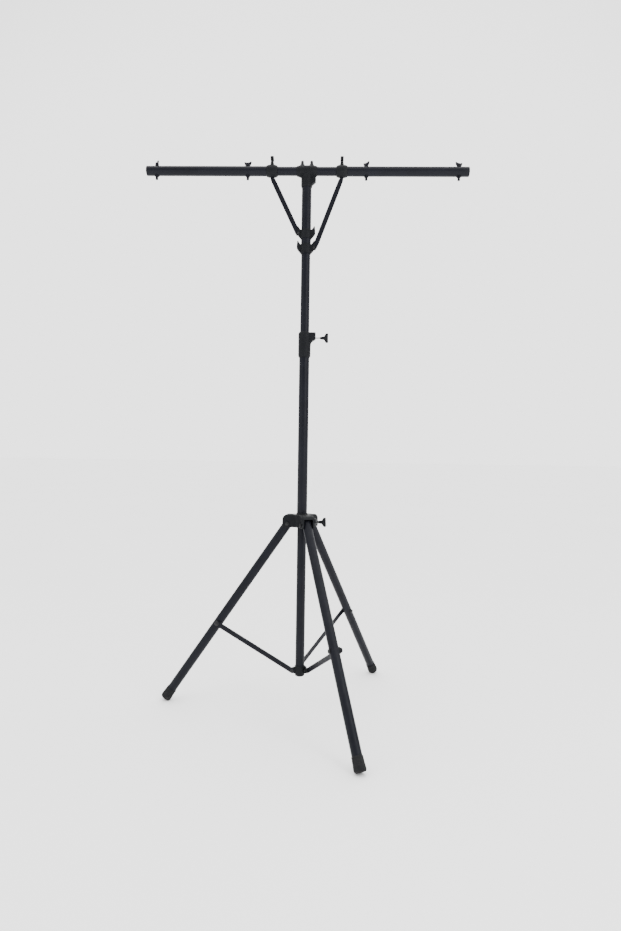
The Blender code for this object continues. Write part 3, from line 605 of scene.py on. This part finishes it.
def clamp_knob(prefix, matrix, body, tip, face, base, look, turned_by, neck):
    """A T-shaped clamp knob on a threaded screw, pointing along the frame's +Z."""
    stem = lathe([(0.0, base + 0.0240), (0.0058, base + 0.0240, 0.001), (0.0076, base + 0.0205, 0.002),
                  (0.0062, base + 0.0120, 0.006), (neck + 0.0006, base + 0.0012, 0.0006), (neck + 0.0002, base, 0.0003),
                  (0.0, base)], 48)
    side = [(0.0052, base + 0.0138), (0.0088, base + 0.0172), (0.0150, base + 0.0200),
            (0.0180, base + 0.0234), (0.0180, base + 0.0285), (0.0155, base + 0.0310), (0.0070, base + 0.0308)]
    wings = chunk(side + [(-x, z) for x, z in reversed(side)], -0.0060, 0.0060, 0.0028)
    turn = spin(turned_by)
    steps = [("UNION", wings, turn)]
    for x in (-0.0158, -0.0134, 0.0134, 0.0158):
        for y in (-0.0064, 0.0064):
            steps.append(("DIFFERENCE", rod(0.0006, base + 0.0215, base + 0.0300, 16), turn @ shift(x, y, 0)))
    steps.append(("DIFFERENCE", rod(0.0028 + GAP, base - 0.01, base + 0.0170, 32), HERE))
    piece(prefix + "_handle", shape(stem, steps, grain=0.00030, soften=4, keep=0.5), matrix, body, PLASTIC)
    screw = gather(
        (lathe([(0.0, tip), (0.0032, tip, 0.0004), (0.0040, tip + 0.0010, 0.0004), (0.0040, face - 0.0010, 0.0003),
                (0.0026, face, 0.0002), (0.0024, face + 0.0004), (0.0024, base + 0.0163), (0.0, base + 0.0163)], 40), HERE),
        (thread(0.0028, 0.0010, face + 0.0001, base + 0.0150, 0.00042), HERE))
    piece(prefix + "_screw", screw, matrix, body, look)


clamp_knob("collar_clamp", MAST @ seat, "collar_knob", UPPER_R + GAP, 0.0440, 0.0583, ZINC, 8.0, 0.0038)

# ------------------------------------------------------------------- the hub
z0, z1 = HUB_Z
hub = lathe([(0.0, z0), (0.0335, z0, 0.0020), (0.0335, z1, 0.0025), (0.0, z1)], 96)
steps = []
for side, az in LEG_AZ.items():
    arm = ([(0.0, z0), (HUB_ARM - 0.0030, z0), (HUB_ARM, z0 + 0.0030)]
           + arc(HUB_ARM - 0.0190, z1 - 0.0190, 0.0190, 0, 90, 10) + [(0.0, z1)])
    steps.append(("UNION", chunk(arm, -HUB_HALF, HUB_HALF, 0.0030), spin(az)))
steps.append(("UNION", lathe([(0.0, z1 - 0.004), (0.0228, z1 - 0.004), (0.0228, z1 + 0.0012, 0.0006), (0.0214, z1 + 0.0045, 0.0008),
                              (0.0, z1 + 0.0045)], 96), HERE))
knob_seat = spin(HUB_KNOB_AZ) @ shift(0, 0, HUB_SCREW_Z) @ ALONG_X
steps.append(("UNION", lathe([(0.0, 0.02), (0.0138, 0.02), (0.0138, 0.0545, 0.0014), (0.0, 0.0545)], 64), knob_seat))
steps.append(("DIFFERENCE", rod(COLUMN_R + GAP, COLUMN_Z[0] - GAP, z1 + 0.02, 88), HERE))
steps.append(("DIFFERENCE", rod(POST_R + 0.0004, z0 - 0.01, COLUMN_Z[0] + 0.01, 88), HERE))
for side, az in LEG_AZ.items():
    turn = spin(az)
    steps.append(("DIFFERENCE", block((0.0334, -LEG_R - 0.0006, z0 - 0.03), (0.0900, LEG_R + 0.0006, 0.7206)), turn))
    steps.append(("DIFFERENCE", rod(RIVET_R + GAP, -0.04, 0.04, 40), turn @ shift(PIVOT_R, 0, PIVOT_Z) @ ALONG_Y))
    # shallow lightening pockets in the top of each arm, as in a moulding
    for y in (-0.0108, 0.0108):
        pocket = chunk([(0.0315, y - 0.0070, 0.003), (0.0560, y - 0.0070, 0.003), (0.0560, y + 0.0070, 0.003),
                        (0.0315, y + 0.0070, 0.003)], -0.0013, 0.0030)
        steps.append(("DIFFERENCE", pocket, turn @ shift(0, 0, z1) @ Matrix.Rotation(math.pi / 2, 4, "X")))
steps.append(("DIFFERENCE", rod(0.0043, 0.010, 0.060, 32), knob_seat))
hub = shape(hub, steps, grain=0.00050, soften=3, keep=0.35)
piece("hub_casting", hub, MAST, "base", PLASTIC)
clamp_knob("hub_clamp", MAST @ knob_seat, "hub_knob", POST_R + GAP, 0.0560, 0.0610, BLACK, 22.0, 0.0045)

# ---------------------------------------------------------- legs and braces
TOP_R, TOP_Z = PIVOT_R + BRACE_S * math.sin(LEG_TILT), PIVOT_Z - BRACE_S * math.cos(LEG_TILT)
BRACE_LEN = math.hypot(TOP_R - BRACKET_R, TOP_Z - BRACKET_Z)
BRACE_TILT = math.atan2(TOP_R - BRACKET_R, TOP_Z - BRACKET_Z)

pivot_bolt = gather(
    (lathe([(0.0, 0.0300), (RIVET_R, 0.0300), (RIVET_R, -0.0250), (0.0, -0.0250)], 40), HERE),
    (thread(RIVET_R, 0.00125, 0.0290, 0.0325, 0.0005), HERE),
    (hexagon(0.0075, -0.0287, -HUB_HALF - GAP - 0.0008), HERE),
    (rod(0.0074, -HUB_HALF - GAP - 0.0010, -HUB_HALF - GAP, edge=0.0002), HERE),
    (hexagon(0.0075, HUB_HALF + GAP + 0.0008, 0.0302), spin(17.0)),
    (rod(0.0074, HUB_HALF + GAP, HUB_HALF + GAP + 0.0010, edge=0.0002), HERE))
leg_tube = shape(tube(LEG_R, LEG_BORE, -(LEG_LEN - 0.0145), LEG_TOP, near=(0.0, -BRACE_S)), [
    ("DIFFERENCE", rod(RIVET_R + GAP, -0.04, 0.04, 32), ALONG_Y),
    ("DIFFERENCE", rod(RIVET_R + GAP, -0.04, 0.04, 32), shift(0, 0, -BRACE_S) @ ALONG_Y)])
e = -LEG_LEN
foot_shape = lathe([(LEG_R + GAP, e + FOOT_LEN, 0.0002), (0.0184, e + FOOT_LEN, 0.0007), (0.0191, e + FOOT_LEN - 0.0020, 0.0008),
                    (0.0191, e + 0.0405, 0.0006), (0.0185, e + 0.0396, 0.0005), (0.0186, e + 0.0370),
                    (0.0193, e + 0.0300, 0.0006), (0.0193, e + 0.0282, 0.0004), (0.0187, e + 0.0276, 0.0003),
                    (0.0187, e + 0.0262, 0.0003), (0.0195, e + 0.0256, 0.0004), (0.0196, e + 0.0232, 0.0004),
                    (0.0190, e + 0.0226, 0.0003), (0.0190, e + 0.0212, 0.0003), (0.0198, e + 0.0206, 0.0004),
                    (FOOT_R, e + 0.0120, 0.0030), (FOOT_R, e + 0.0055, 0.0030), (0.0190, e + 0.0016, 0.0016),
                    (0.0168, e, 0.0010), (0.0, e), (0.0, e + 0.0142), (LEG_R + GAP, e + 0.0142)], 72, closed=True)
spacer_shape = shape(rod(0.0115, 0.0090, BRACE_T[0] - GAP, 56, edge=0.0005), [
    ("DIFFERENCE", rod(LEG_R + GAP, -0.04, 0.04, 88), ALONG_Y.inverted()),
    ("DIFFERENCE", rod(RIVET_R + GAP, -0.01, 0.04, 32), HERE)])
rivet_shape = lathe([(0.0, 0.0296), (0.0040, 0.0292, 0.004), (0.0075, 0.0275, 0.002), (0.0088, BRACE_T[1] + GAP, 0.0003),
                     (RIVET_R, BRACE_T[1] + GAP), (RIVET_R, -LEG_R - GAP - 0.0002), (0.0084, -LEG_R - GAP - 0.0002, 0.0003),
                     (0.0074, -0.0208, 0.002), (0.0038, -0.0224, 0.003), (0.0, -0.0226)], 48)
outline = (arc(0, 0, 0.0106, 50, 130, 14) + [(-0.0102, -0.004, 0.004), (-BRACE_HALF, -0.018, 0.010)]
           + [(-BRACE_HALF, -BRACE_LEN + 0.010)] + arc(0, -BRACE_LEN, 0.0097, 200, 340, 18)
           + [(BRACE_HALF, -BRACE_LEN + 0.010)] + [(BRACE_HALF, -0.018, 0.010), (0.0102, -0.004, 0.004)])
brace_shape = plate(outline, *BRACE_T, 0.0007, [(0, 0, RIVET_R + GAP), (0, -BRACE_LEN, 0.0033)])
brace_pin = lathe([(0.0, 0.0280), (0.0038, 0.0277, 0.002), (0.0060, 0.0264, 0.0012), (0.0064, BRACE_T[1] + GAP, 0.0003),
                   (0.0030, BRACE_T[1] + GAP), (0.0030, BRACE_T[0] + 0.0001), (0.0, BRACE_T[0] + 0.0001)], 40)
bracket_pin = lathe([(0.0, 0.0198), (0.0030, 0.0198), (0.0030, 0.0120 - GAP), (0.0050, 0.0120 - GAP, 0.0003),
                     (0.0050, 0.0088, 0.0005), (0.0040, 0.0080, 0.0005), (0.0, 0.0080)], 40)
for side, az in LEG_AZ.items():
    plane = MAST @ spin(az)
    piece("leg_pivot_bolt_" + side, pivot_bolt, plane @ shift(PIVOT_R, 0, PIVOT_Z) @ ALONG_Y, "base", BLACK)
    pivot = plane @ shift(PIVOT_R, 0, PIVOT_Z) @ Matrix.Rotation(-LEG_TILT, 4, "Y")
    leg = "leg_" + side
    piece("leg_tube_" + side, leg_tube, pivot, leg, PAINT)
    under = pivot.inverted() @ plane @ shift(PIVOT_R + LEG_LEN * math.sin(LEG_TILT), 0, 0)
    foot = shape(foot_shape.copy(), [("DIFFERENCE", block((-0.08, -0.08, -0.08), (0.08, 0.08, 0.0)), under)])
    piece("leg_foot_" + side, foot, pivot, leg, RUBBER)
    cross = pivot @ shift(0, 0, -BRACE_S) @ ALONG_Y
    piece("brace_spacer_" + side, spacer_shape, cross, leg, PLASTIC)
    piece("brace_rivet_" + side, rivet_shape, cross, leg, BLACK)
    hinge = plane @ shift(TOP_R, 0, TOP_Z) @ Matrix.Rotation(BRACE_TILT, 4, "Y")
    link = "brace_link_" + side
    piece("brace_" + side, brace_shape, hinge, link, PAINT, flat=True)
    piece("brace_pin_" + side, brace_pin, hinge @ shift(0, 0, -BRACE_LEN) @ ALONG_Y, link, BLACK)
    piece("bracket_pin_" + side, bracket_pin, plane @ shift(BRACKET_R, 0, BRACKET_Z) @ ALONG_Y, "post", BLACK)

bracket = lathe([(0.0, 0.1640), (0.0184, 0.1640, 0.0006), (0.0194, 0.1626, 0.0006), (0.0199, 0.1440, 0.004),
                 (0.0194, 0.1335, 0.004), (0.0165, 0.1266, 0.004), (0.0115, 0.1244, 0.003), (0.0, 0.1238)], 96)
steps = []
for side, az in LEG_AZ.items():
    ear = ([(0.0, BRACKET_Z + 0.0130), (0.0170, BRACKET_Z + 0.0130, 0.003)]
           + arc(BRACKET_R, BRACKET_Z, 0.0095, 60, -90, 16) + [(0.0, BRACKET_Z - 0.0160)])
    steps.append(("UNION", chunk(ear, 0.0120, 0.0200, 0.0009, 3), spin(az)))
steps.append(("DIFFERENCE", rod(POST_R + GAP, POST_Z[0] - GAP, 0.20, 88), HERE))
for side, az in LEG_AZ.items():
    steps.append(("DIFFERENCE", rod(0.0033, 0.0050, 0.03, 32), spin(az) @ shift(BRACKET_R, 0, BRACKET_Z) @ ALONG_Y))
piece("bottom_bracket", shape(bracket, steps, grain=0.00040, soften=3, keep=0.5), MAST, "post", PLASTIC)

# ------------------------------------------------------------------ the T-bar
piece("t_sleeve", tube(SLEEVE_R, SLEEVE_BORE, *SLEEVE_Z), MAST, "t_bar", PAINT)
BAR = MAST @ shift(0, 0, BAR_Z)
bar = shape(tube(BAR_R, BAR_BORE, -BAR_HALF, BAR_HALF, near=(-0.0175, 0.0175)), [
    ("DIFFERENCE", rod(0.0033, -0.03, 0.03, 32), ALONG_X.inverted() @ shift(x, 0, 0)) for x in (-0.0175, 0.0175)])
piece("centre_bar", bar, BAR @ ALONG_X, "t_bar", PAINT)

tee = lathe([(0.0, 0.0385), (0.0178, 0.0385, 0.0006), (0.0188, 0.0365, 0.0010), (0.0212, 0.0240, 0.0060), (0.0212, -0.0240, 0.0060),
             (0.0188, -0.0365, 0.0010), (0.0178, -0.0385, 0.0006), (0.0, -0.0385)], 96)
tee.transform(ALONG_X)
steps = [
    ("UNION", rod(0.0216, -0.0560, 0.0, 96), HERE),
    ("UNION", lathe([(0.0, -0.0630), (0.0196, -0.0630, 0.0006), (0.0203, -0.0600, 0.001), (0.0216, -0.0555), (0.0, -0.0555)], 96), HERE),
    ("UNION", chunk([(0.004, -0.004), (0.0345, -0.004), (0.0345, -0.0395), (0.0310, -0.0430), (0.0190, -0.0530),
                     (0.004, -0.0560)], -0.0110, 0.0110, 0.0024), HERE),
    ("UNION", chunk([(-0.0400, -0.0150), (-0.0200, -0.0248), (-0.0200, -0.0100), (-0.0400, -0.0100)],
                    -0.0060, 0.0060, 0.0010, 3), HERE)]
for x in (-0.0175, 0.0175):
    steps.append(("UNION", rod(0.0150, 0.0140, 0.0262, 64, top=0.0072), shift(x, 0, 0)))
steps.append(("DIFFERENCE", rod(BAR_R + GAP, -0.06, 0.06, 88), ALONG_X))
steps.append(("DIFFERENCE", rod(SLEEVE_R + GAP, -0.08, -0.0203, 88), HERE))
for x in (-0.0175, 0.0175):
    steps.append(("DIFFERENCE", rod(0.0033, -0.0190, 0.05, 32), shift(x, 0, 0)))
steps.append(("DIFFERENCE", rod(0.0043, 0.010, 0.060, 32), shift(0, 0, -0.0300) @ ALONG_X))
piece("tee_casting", shape(tee, steps, grain=0.00042, soften=3, keep=0.30), BAR, "t_bar", PLASTIC)
stud = gather(
    (lathe([(0.0, 0.0405), (0.0026, 0.0401, 0.004), (0.0044, 0.0387, 0.003), (0.0054, 0.0364, 0.003), (0.0056, 0.0330, 0.002),
            (0.0056, 0.0300), (0.0030, 0.0300), (0.0030, -0.0178, 0.0003), (0.0024, -0.0186), (0.0, -0.0186)], 40), HERE),
    (hexagon(0.0064, 0.0265, 0.0325), HERE))
for side, x in (("left", -0.0175), ("right", 0.0175)):
    piece("tee_bolt_" + side, stud, BAR @ shift(x, 0, 0), "t_bar", BLACK)
socket = shape(lathe([(0.0, 0.0188), (0.0032, 0.0188, 0.0003), (0.0040, 0.0196, 0.0004), (0.0040, 0.0330, 0.0004), (0.0032, 0.0338, 0.0002),
                      (0.0, 0.0338)], 40), [("DIFFERENCE", lathe([(0.0, 0.0312), (0.0021, 0.0316), (0.0021, 0.04), (0.0, 0.04)], 6), HERE)])
piece("tee_clamp_screw", socket, BAR @ shift(0, 0, -0.0300) @ ALONG_X, "t_bar", BLACK)

EAR = [(0.0, 0.0125), (0.0185, 0.0125), (0.0210, 0.0135, 0.002), (0.0250, 0.0180, 0.004), (0.0300, 0.0262, 0.0010),
       (0.0328, 0.0252, 0.0010), (0.0348, 0.0070, 0.003), (0.0344, -0.0010, 0.003), (0.0305, -0.0080, 0.004), (0.0215, -0.0185, 0.004),
       (0.0180, -0.0225), (0.0, -0.0225)]
whole = EAR[1:-1] + [(-p[0],) + tuple(p[1:]) for p in reversed(EAR[1:-1])]
for level, z in RING_Z.items():
    ring = lathe([(0.0, 0.0125), (0.0201, 0.0125, 0.0005), (0.0209, 0.0117, 0.0005), (0.0209, -0.0207, 0.0005),
                  (0.0201, -0.0215, 0.0005), (0.0, -0.0215)], 96)
    steps = [("UNION", chunk(whole, -0.0062, 0.0062, 0.0008, 3), HERE), ("DIFFERENCE", rod(SLEEVE_R + GAP, -0.05, 0.05, 88), HERE)]
    for sign in (-1, 1):
        steps.append(("DIFFERENCE", block((0.0212 if sign > 0 else -0.06, -0.0022, -0.05),
                                          (0.06 if sign > 0 else -0.0212, 0.0022, 0.05)), HERE))
    used = -1 if level == "upper" else 1
    steps.append(("DIFFERENCE", rod(0.0033, -0.02, 0.02, 32), shift(used * STRUT_PIN_X, 0, 0) @ ALONG_Y))
    piece("strut_ring_" + level, shape(ring, steps, grain=0.00032, soften=2, keep=0.5), MAST @ shift(0, 0, z), "t_bar", PLASTIC)


def ribbon(points, widths):
    left, right = [], []
    for i, (x, z) in enumerate(points):
        before, after = Vector(points[max(i - 1, 0)]), Vector(points[min(i + 1, len(points) - 1)])
        d = (after - before).normalized()
        n = Vector((-d.y, d.x)) * widths[i]
        left.append((x + n.x, z + n.y, 0.0030))
        right.append((x - n.x, z - n.y, 0.0030))
    for rim in (left, right):
        rim[0] = rim[0][:2] + (0.0008,)
        rim[-1] = rim[-1][:2] + (0.0022,)
    return left + right[::-1]


pin_shape = lathe([(0.0, 0.0090), (0.0035, 0.0086, 0.002), (0.0050, 0.0062 + GAP, 0.0002), (0.0030, 0.0062 + GAP),
                   (0.0030, -0.0062 - GAP), (0.0050, -0.0062 - GAP, 0.0002), (0.0035, -0.0086, 0.002), (0.0, -0.0090)], 40)
for side, sign, level in (("left", -1, "upper"), ("right", 1, "lower")):
    low_z = RING_Z[level]
    top, neck = (sign * CLAMP_X, BAR_Z - 0.0192), (sign * (CLAMP_X - 0.0002), BAR_Z - 0.0250)
    bend, foot_at = (sign * 0.0415, low_z + 0.0230), (sign * STRUT_PIN_X, low_z)
    line, widths = [top, neck], [0.0060, 0.0060]
    for i in range(1, 7):
        t = 0.035 if i == 1 else (i - 1) / 5
        line.append((neck[0] + (bend[0] - neck[0]) * t, neck[1] + (bend[1] - neck[1]) * t))
        widths.append(0.0084 if i == 1 else 0.0092)
    line += [(sign * 0.0350, low_z + 0.0085), (sign * 0.0318, low_z), (sign * 0.0300, low_z - 0.0075)]
    widths += [0.0090, 0.0080, 0.0052]
    piece("strut_" + side, plate(ribbon(line, widths), -0.0018, 0.0018, 0.0006, [(foot_at[0], foot_at[1], 0.0033)]),
          MAST, "t_bar", PAINT, flat=True)
    piece("strut_pin_" + side, pin_shape, MAST @ shift(foot_at[0], 0, foot_at[1]) @ ALONG_Y, "t_bar", BLACK)

a, b = CLAMP_X - CLAMP_HALF, CLAMP_X + CLAMP_HALF
up = ALONG_X.inverted() @ shift(CLAMP_X, 0, 0)
clamp = shape(lathe([(0.0, b), (0.0190, b, 0.0006), (0.0205, b - 0.0020, 0.0015), (0.0225, b - 0.0085, 0.0060),
                     (0.0235, CLAMP_X + 0.0060, 0.0100), (0.0235, CLAMP_X - 0.0060, 0.0100), (0.0225, a + 0.0085, 0.0060),
                     (0.0195, a + 0.0012, 0.0015), (0.0180, a, 0.0006), (0.0, a)], 96), [
    ("DIFFERENCE", rod(BAR_R + GAP, a - 0.01, b + 0.01, 88), HERE),
    ("DIFFERENCE", rod(ARM_R + GAP, ARM_X[0] - GAP, b + 0.01, 88), HERE),
    ("DIFFERENCE", rod(0.0043, 0.005, 0.04, 32), up),
    ("DIFFERENCE", block((-0.0065, -0.0022, -0.04), (0.0065, 0.0022, -0.0184)), up)], grain=0.00040, soften=3, keep=0.45)
head = chunk([(-0.0050, 0.0385), (0.0050, 0.0385)] + arc(0.0125, 0.0470, 0.0050, -60, 90, 8)
             + arc(0.0, 0.0440, 0.0142, 84, 96, 2)[1:2] + arc(-0.0125, 0.0470, 0.0050, 90, 240, 8), -0.0060, 0.0060, 0.0028)
grip = shape(lathe([(0.0, 0.0440), (0.0052, 0.0440), (0.0054, 0.0360, 0.006), (0.0068, 0.0275, 0.004), (0.0084, 0.0240, 0.0004),
                    (0.0040, 0.0240), (0.0040, 0.0193, 0.0003), (0.0032, ARM_R + GAP), (0.0, ARM_R + GAP)], 48),
             [("UNION", head, spin(90.0))]
             + [("DIFFERENCE", rod(0.0006, -0.007, 0.007, 16), spin(90.0) @ shift(x, y, 0.047))
                for x in (-0.0148, -0.0120, 0.0120, 0.0148) for y in (-0.0063, 0.0063)],
             grain=0.00030, soften=4, keep=0.5)

nut = hexagon(NUT_R, NUT_Z, -0.0169)
arm_steps, welds = [], []
for x in BOLT_X:
    down = ALONG_X.inverted() @ shift(x, 0, 0)
    arm_steps.append(("DIFFERENCE", rod(BOLT_R + 0.0005, -0.04, 0.04, 32), down))
    drilled = shape(nut.copy(), [("DIFFERENCE", rod(BOLT_R + GAP, -0.04, 0.0, 32), HERE)])
    path = []
    for i in range(56):
        t = math.tau * i / 56
        px, py = 0.0087 * math.cos(t), 0.0087 * math.sin(t)
        path.append((Vector((px, py, -math.sqrt(ARM_R ** 2 - py ** 2) - 0.0002)), Vector((0, py, -ARM_R))))
    welds += [(drilled, down), (bead(path, 0.0011), down)]
arm = shape(tube(ARM_R, ARM_BORE, *ARM_X, near=BOLT_X), arm_steps)
arm = gather((arm, HERE), *welds)
cap = lathe([(0.0, BAR_END - 0.0004), (0.0090, BAR_END - 0.0004, 0.0003), (0.0098, BAR_END, 0.0003), (0.0160, BAR_END, 0.0006),
             (0.0178, BAR_END - 0.0010, 0.0006), (0.0180, ARM_X[1] + GAP, 0.0002),
             (ARM_BORE - GAP, ARM_X[1] + GAP), (ARM_BORE - GAP, ARM_X[1] - 0.0120, 0.0006), (0.0145, ARM_X[1] - 0.0130, 0.0005),
             (0.0, ARM_X[1] - 0.0130)], 72)
wing = [(0.0092, 0.0208, 0.0010), (0.0116, 0.0238, 0.005), (0.0146, 0.0322, 0.0014), (0.0138, 0.0346, 0.0012),
        (0.0108, 0.0350, 0.0014), (0.0050, 0.0326, 0.004)]
wings = chunk(wing + [(-p[0],) + p[1:] for p in reversed(wing)], -0.0024, 0.0024, 0.0010, 3)
wing_head = shape(lathe([(0.0, 0.0310), (0.0052, 0.0310, 0.0012), (0.0066, 0.0280, 0.003), (0.0076, ARM_R + GAP, 0.0003),
                         (0.0, ARM_R + GAP)], 48), [("UNION", wings, HERE)], grain=0.00026, soften=3, keep=0.5)
wing_bolt = gather(
    (wing_head, HERE),
    (rod(BOLT_R - 0.0007, -0.0324, ARM_R + 0.0010, 32), HERE),
    (thread(BOLT_R, 0.0015, -0.0332, ARM_R + GAP, 0.0006), HERE))
for side, turn in (("right", 0.0), ("left", 180.0)):
    half = MAST @ spin(turn)
    at = half @ shift(0, 0, BAR_Z)
    axis = at @ ALONG_X
    piece("bar_clamp_" + side, clamp, axis, "t_bar", PLASTIC)
    piece("bar_clamp_handle_" + side, grip, half @ shift(CLAMP_X, 0, BAR_Z), "bar_knob_" + side, PLASTIC)
    piece("arm_tube_" + side, arm, axis, "arm_" + side, PAINT)
    piece("arm_cap_" + side, cap, axis, "arm_" + side, PLASTIC)
    for place, x in zip(("inner", "outer"), BOLT_X):
        name = side + "_" + place
        piece("wing_bolt_" + name, wing_bolt, at @ shift(x, 0, 0) @ spin(BOLT_TURN[name] - turn),
              "hanging_bolt_" + name, PAINT)

# ------------------------------------------------------- floor, light, camera
floor_mesh = solid([(-90, -90, 0), (90, -90, 0), (90, 90, 0), (-90, 90, 0)], [(0, 1, 2, 3)], "floor")
n = Nodes("studio_floor")
n.link(n.ramp(n.noise(0.6, 3.0), [(0.3, (0.86, 0.86, 0.86)), (0.7, (0.88, 0.88, 0.88))]), n.shader.inputs["Base Color"])
n.link(n.span(n.noise(3.0, 3.0), 0.3, 0.7, 0.86, 0.92), n.shader.inputs["Roughness"])
n.shader.inputs["Specular IOR Level"].default_value = 0.1
floor_mesh.materials.append(n.mat)
floor = bpy.data.objects.new("studio_floor", floor_mesh)
floor.location = (0.0, 0.0, -0.0006)
bpy.context.scene.collection.objects.link(floor)

WALL = (0.70, 2.75)            # brightness of the room, and of the wall behind the stand
world = bpy.data.worlds.new("studio")
bpy.context.scene.world = world
world.use_nodes = True
tree = world.node_tree
background = tree.nodes["Background"]
background.inputs["Strength"].default_value = 1.0
coords = tree.nodes.new("ShaderNodeTexCoord")
split = tree.nodes.new("ShaderNodeSeparateXYZ")
tree.links.new(coords.outputs["Generated"], split.inputs["Vector"])
behind = tree.nodes.new("ShaderNodeMapRange")
behind.interpolation_type = "SMOOTHSTEP"
for key, value in (("From Min", 0.45), ("From Max", 0.85), ("To Min", WALL[0]), ("To Max", WALL[1])):
    behind.inputs[key].default_value = value
tree.links.new(split.outputs["Y"], behind.inputs["Value"])
tree.links.new(behind.outputs["Result"], background.inputs["Color"])


def lamp(name, place, target, size, power, colour=(1.0, 1.0, 1.0)):
    data = bpy.data.lights.new(name, "AREA")
    data.shape = "RECTANGLE"
    data.size, data.size_y = size
    data.energy = power
    data.color = colour
    obj = bpy.data.objects.new(name, data)
    bpy.context.scene.collection.objects.link(obj)
    obj.location = place
    obj.rotation_mode = "QUATERNION"
    obj.rotation_quaternion = (Vector(target) - Vector(place)).to_track_quat("-Z", "Y")
    return obj


lamp("softbox_right", (2.6, -2.6, 2.1), (0.0, 0.0, 1.1), (1.2, 2.6), 75.0, (1.0, 0.99, 0.98))
lamp("softbox_left", (-3.4, -2.2, 1.9), (0.0, 0.0, 1.1), (1.6, 2.4), 30.0, (0.98, 0.99, 1.0))
sky = bpy.data.lights.new("overhead", "SUN")
sky.energy = 6.5
sky.angle = math.radians(120.0)
overhead = bpy.data.objects.new("overhead", sky)
bpy.context.scene.collection.objects.link(overhead)
overhead.location = (0.0, 0.0, 6.0)
overhead.rotation_euler = (math.radians(-12.0), 0.0, 0.0)

D, H, X0 = 2.387, 0.9577, -0.0290
psi, roll = math.radians(-1.473), math.radians(0.84)
F = Vector((math.sin(psi), math.cos(psi), 0.0))
R = Vector((math.cos(psi), -math.sin(psi), 0.0))
U = Vector((0.0, 0.0, 1.0))
place = Vector((0.0, MAST_Y, 0.0)) - F * D - R * X0
place.z = H
side_way = R * math.cos(roll) + U * math.sin(roll)
up_way = U * math.cos(roll) - R * math.sin(roll)
M = Matrix(((side_way.x, up_way.x, -F.x), (side_way.y, up_way.y, -F.y), (side_way.z, up_way.z, -F.z))).to_4x4()
M.translation = place
lens = bpy.data.cameras.new("camera")
lens.lens = 36.0 * 631.14 / 931.0
lens.sensor_width = 36.0
lens.shift_y = -0.0107
lens.clip_start, lens.clip_end = 0.05, 300.0
camera = bpy.data.objects.new("camera", lens)
bpy.context.scene.collection.objects.link(camera)
camera.matrix_world = M
bpy.context.scene.camera = camera

bpy.context.view_layer.update()
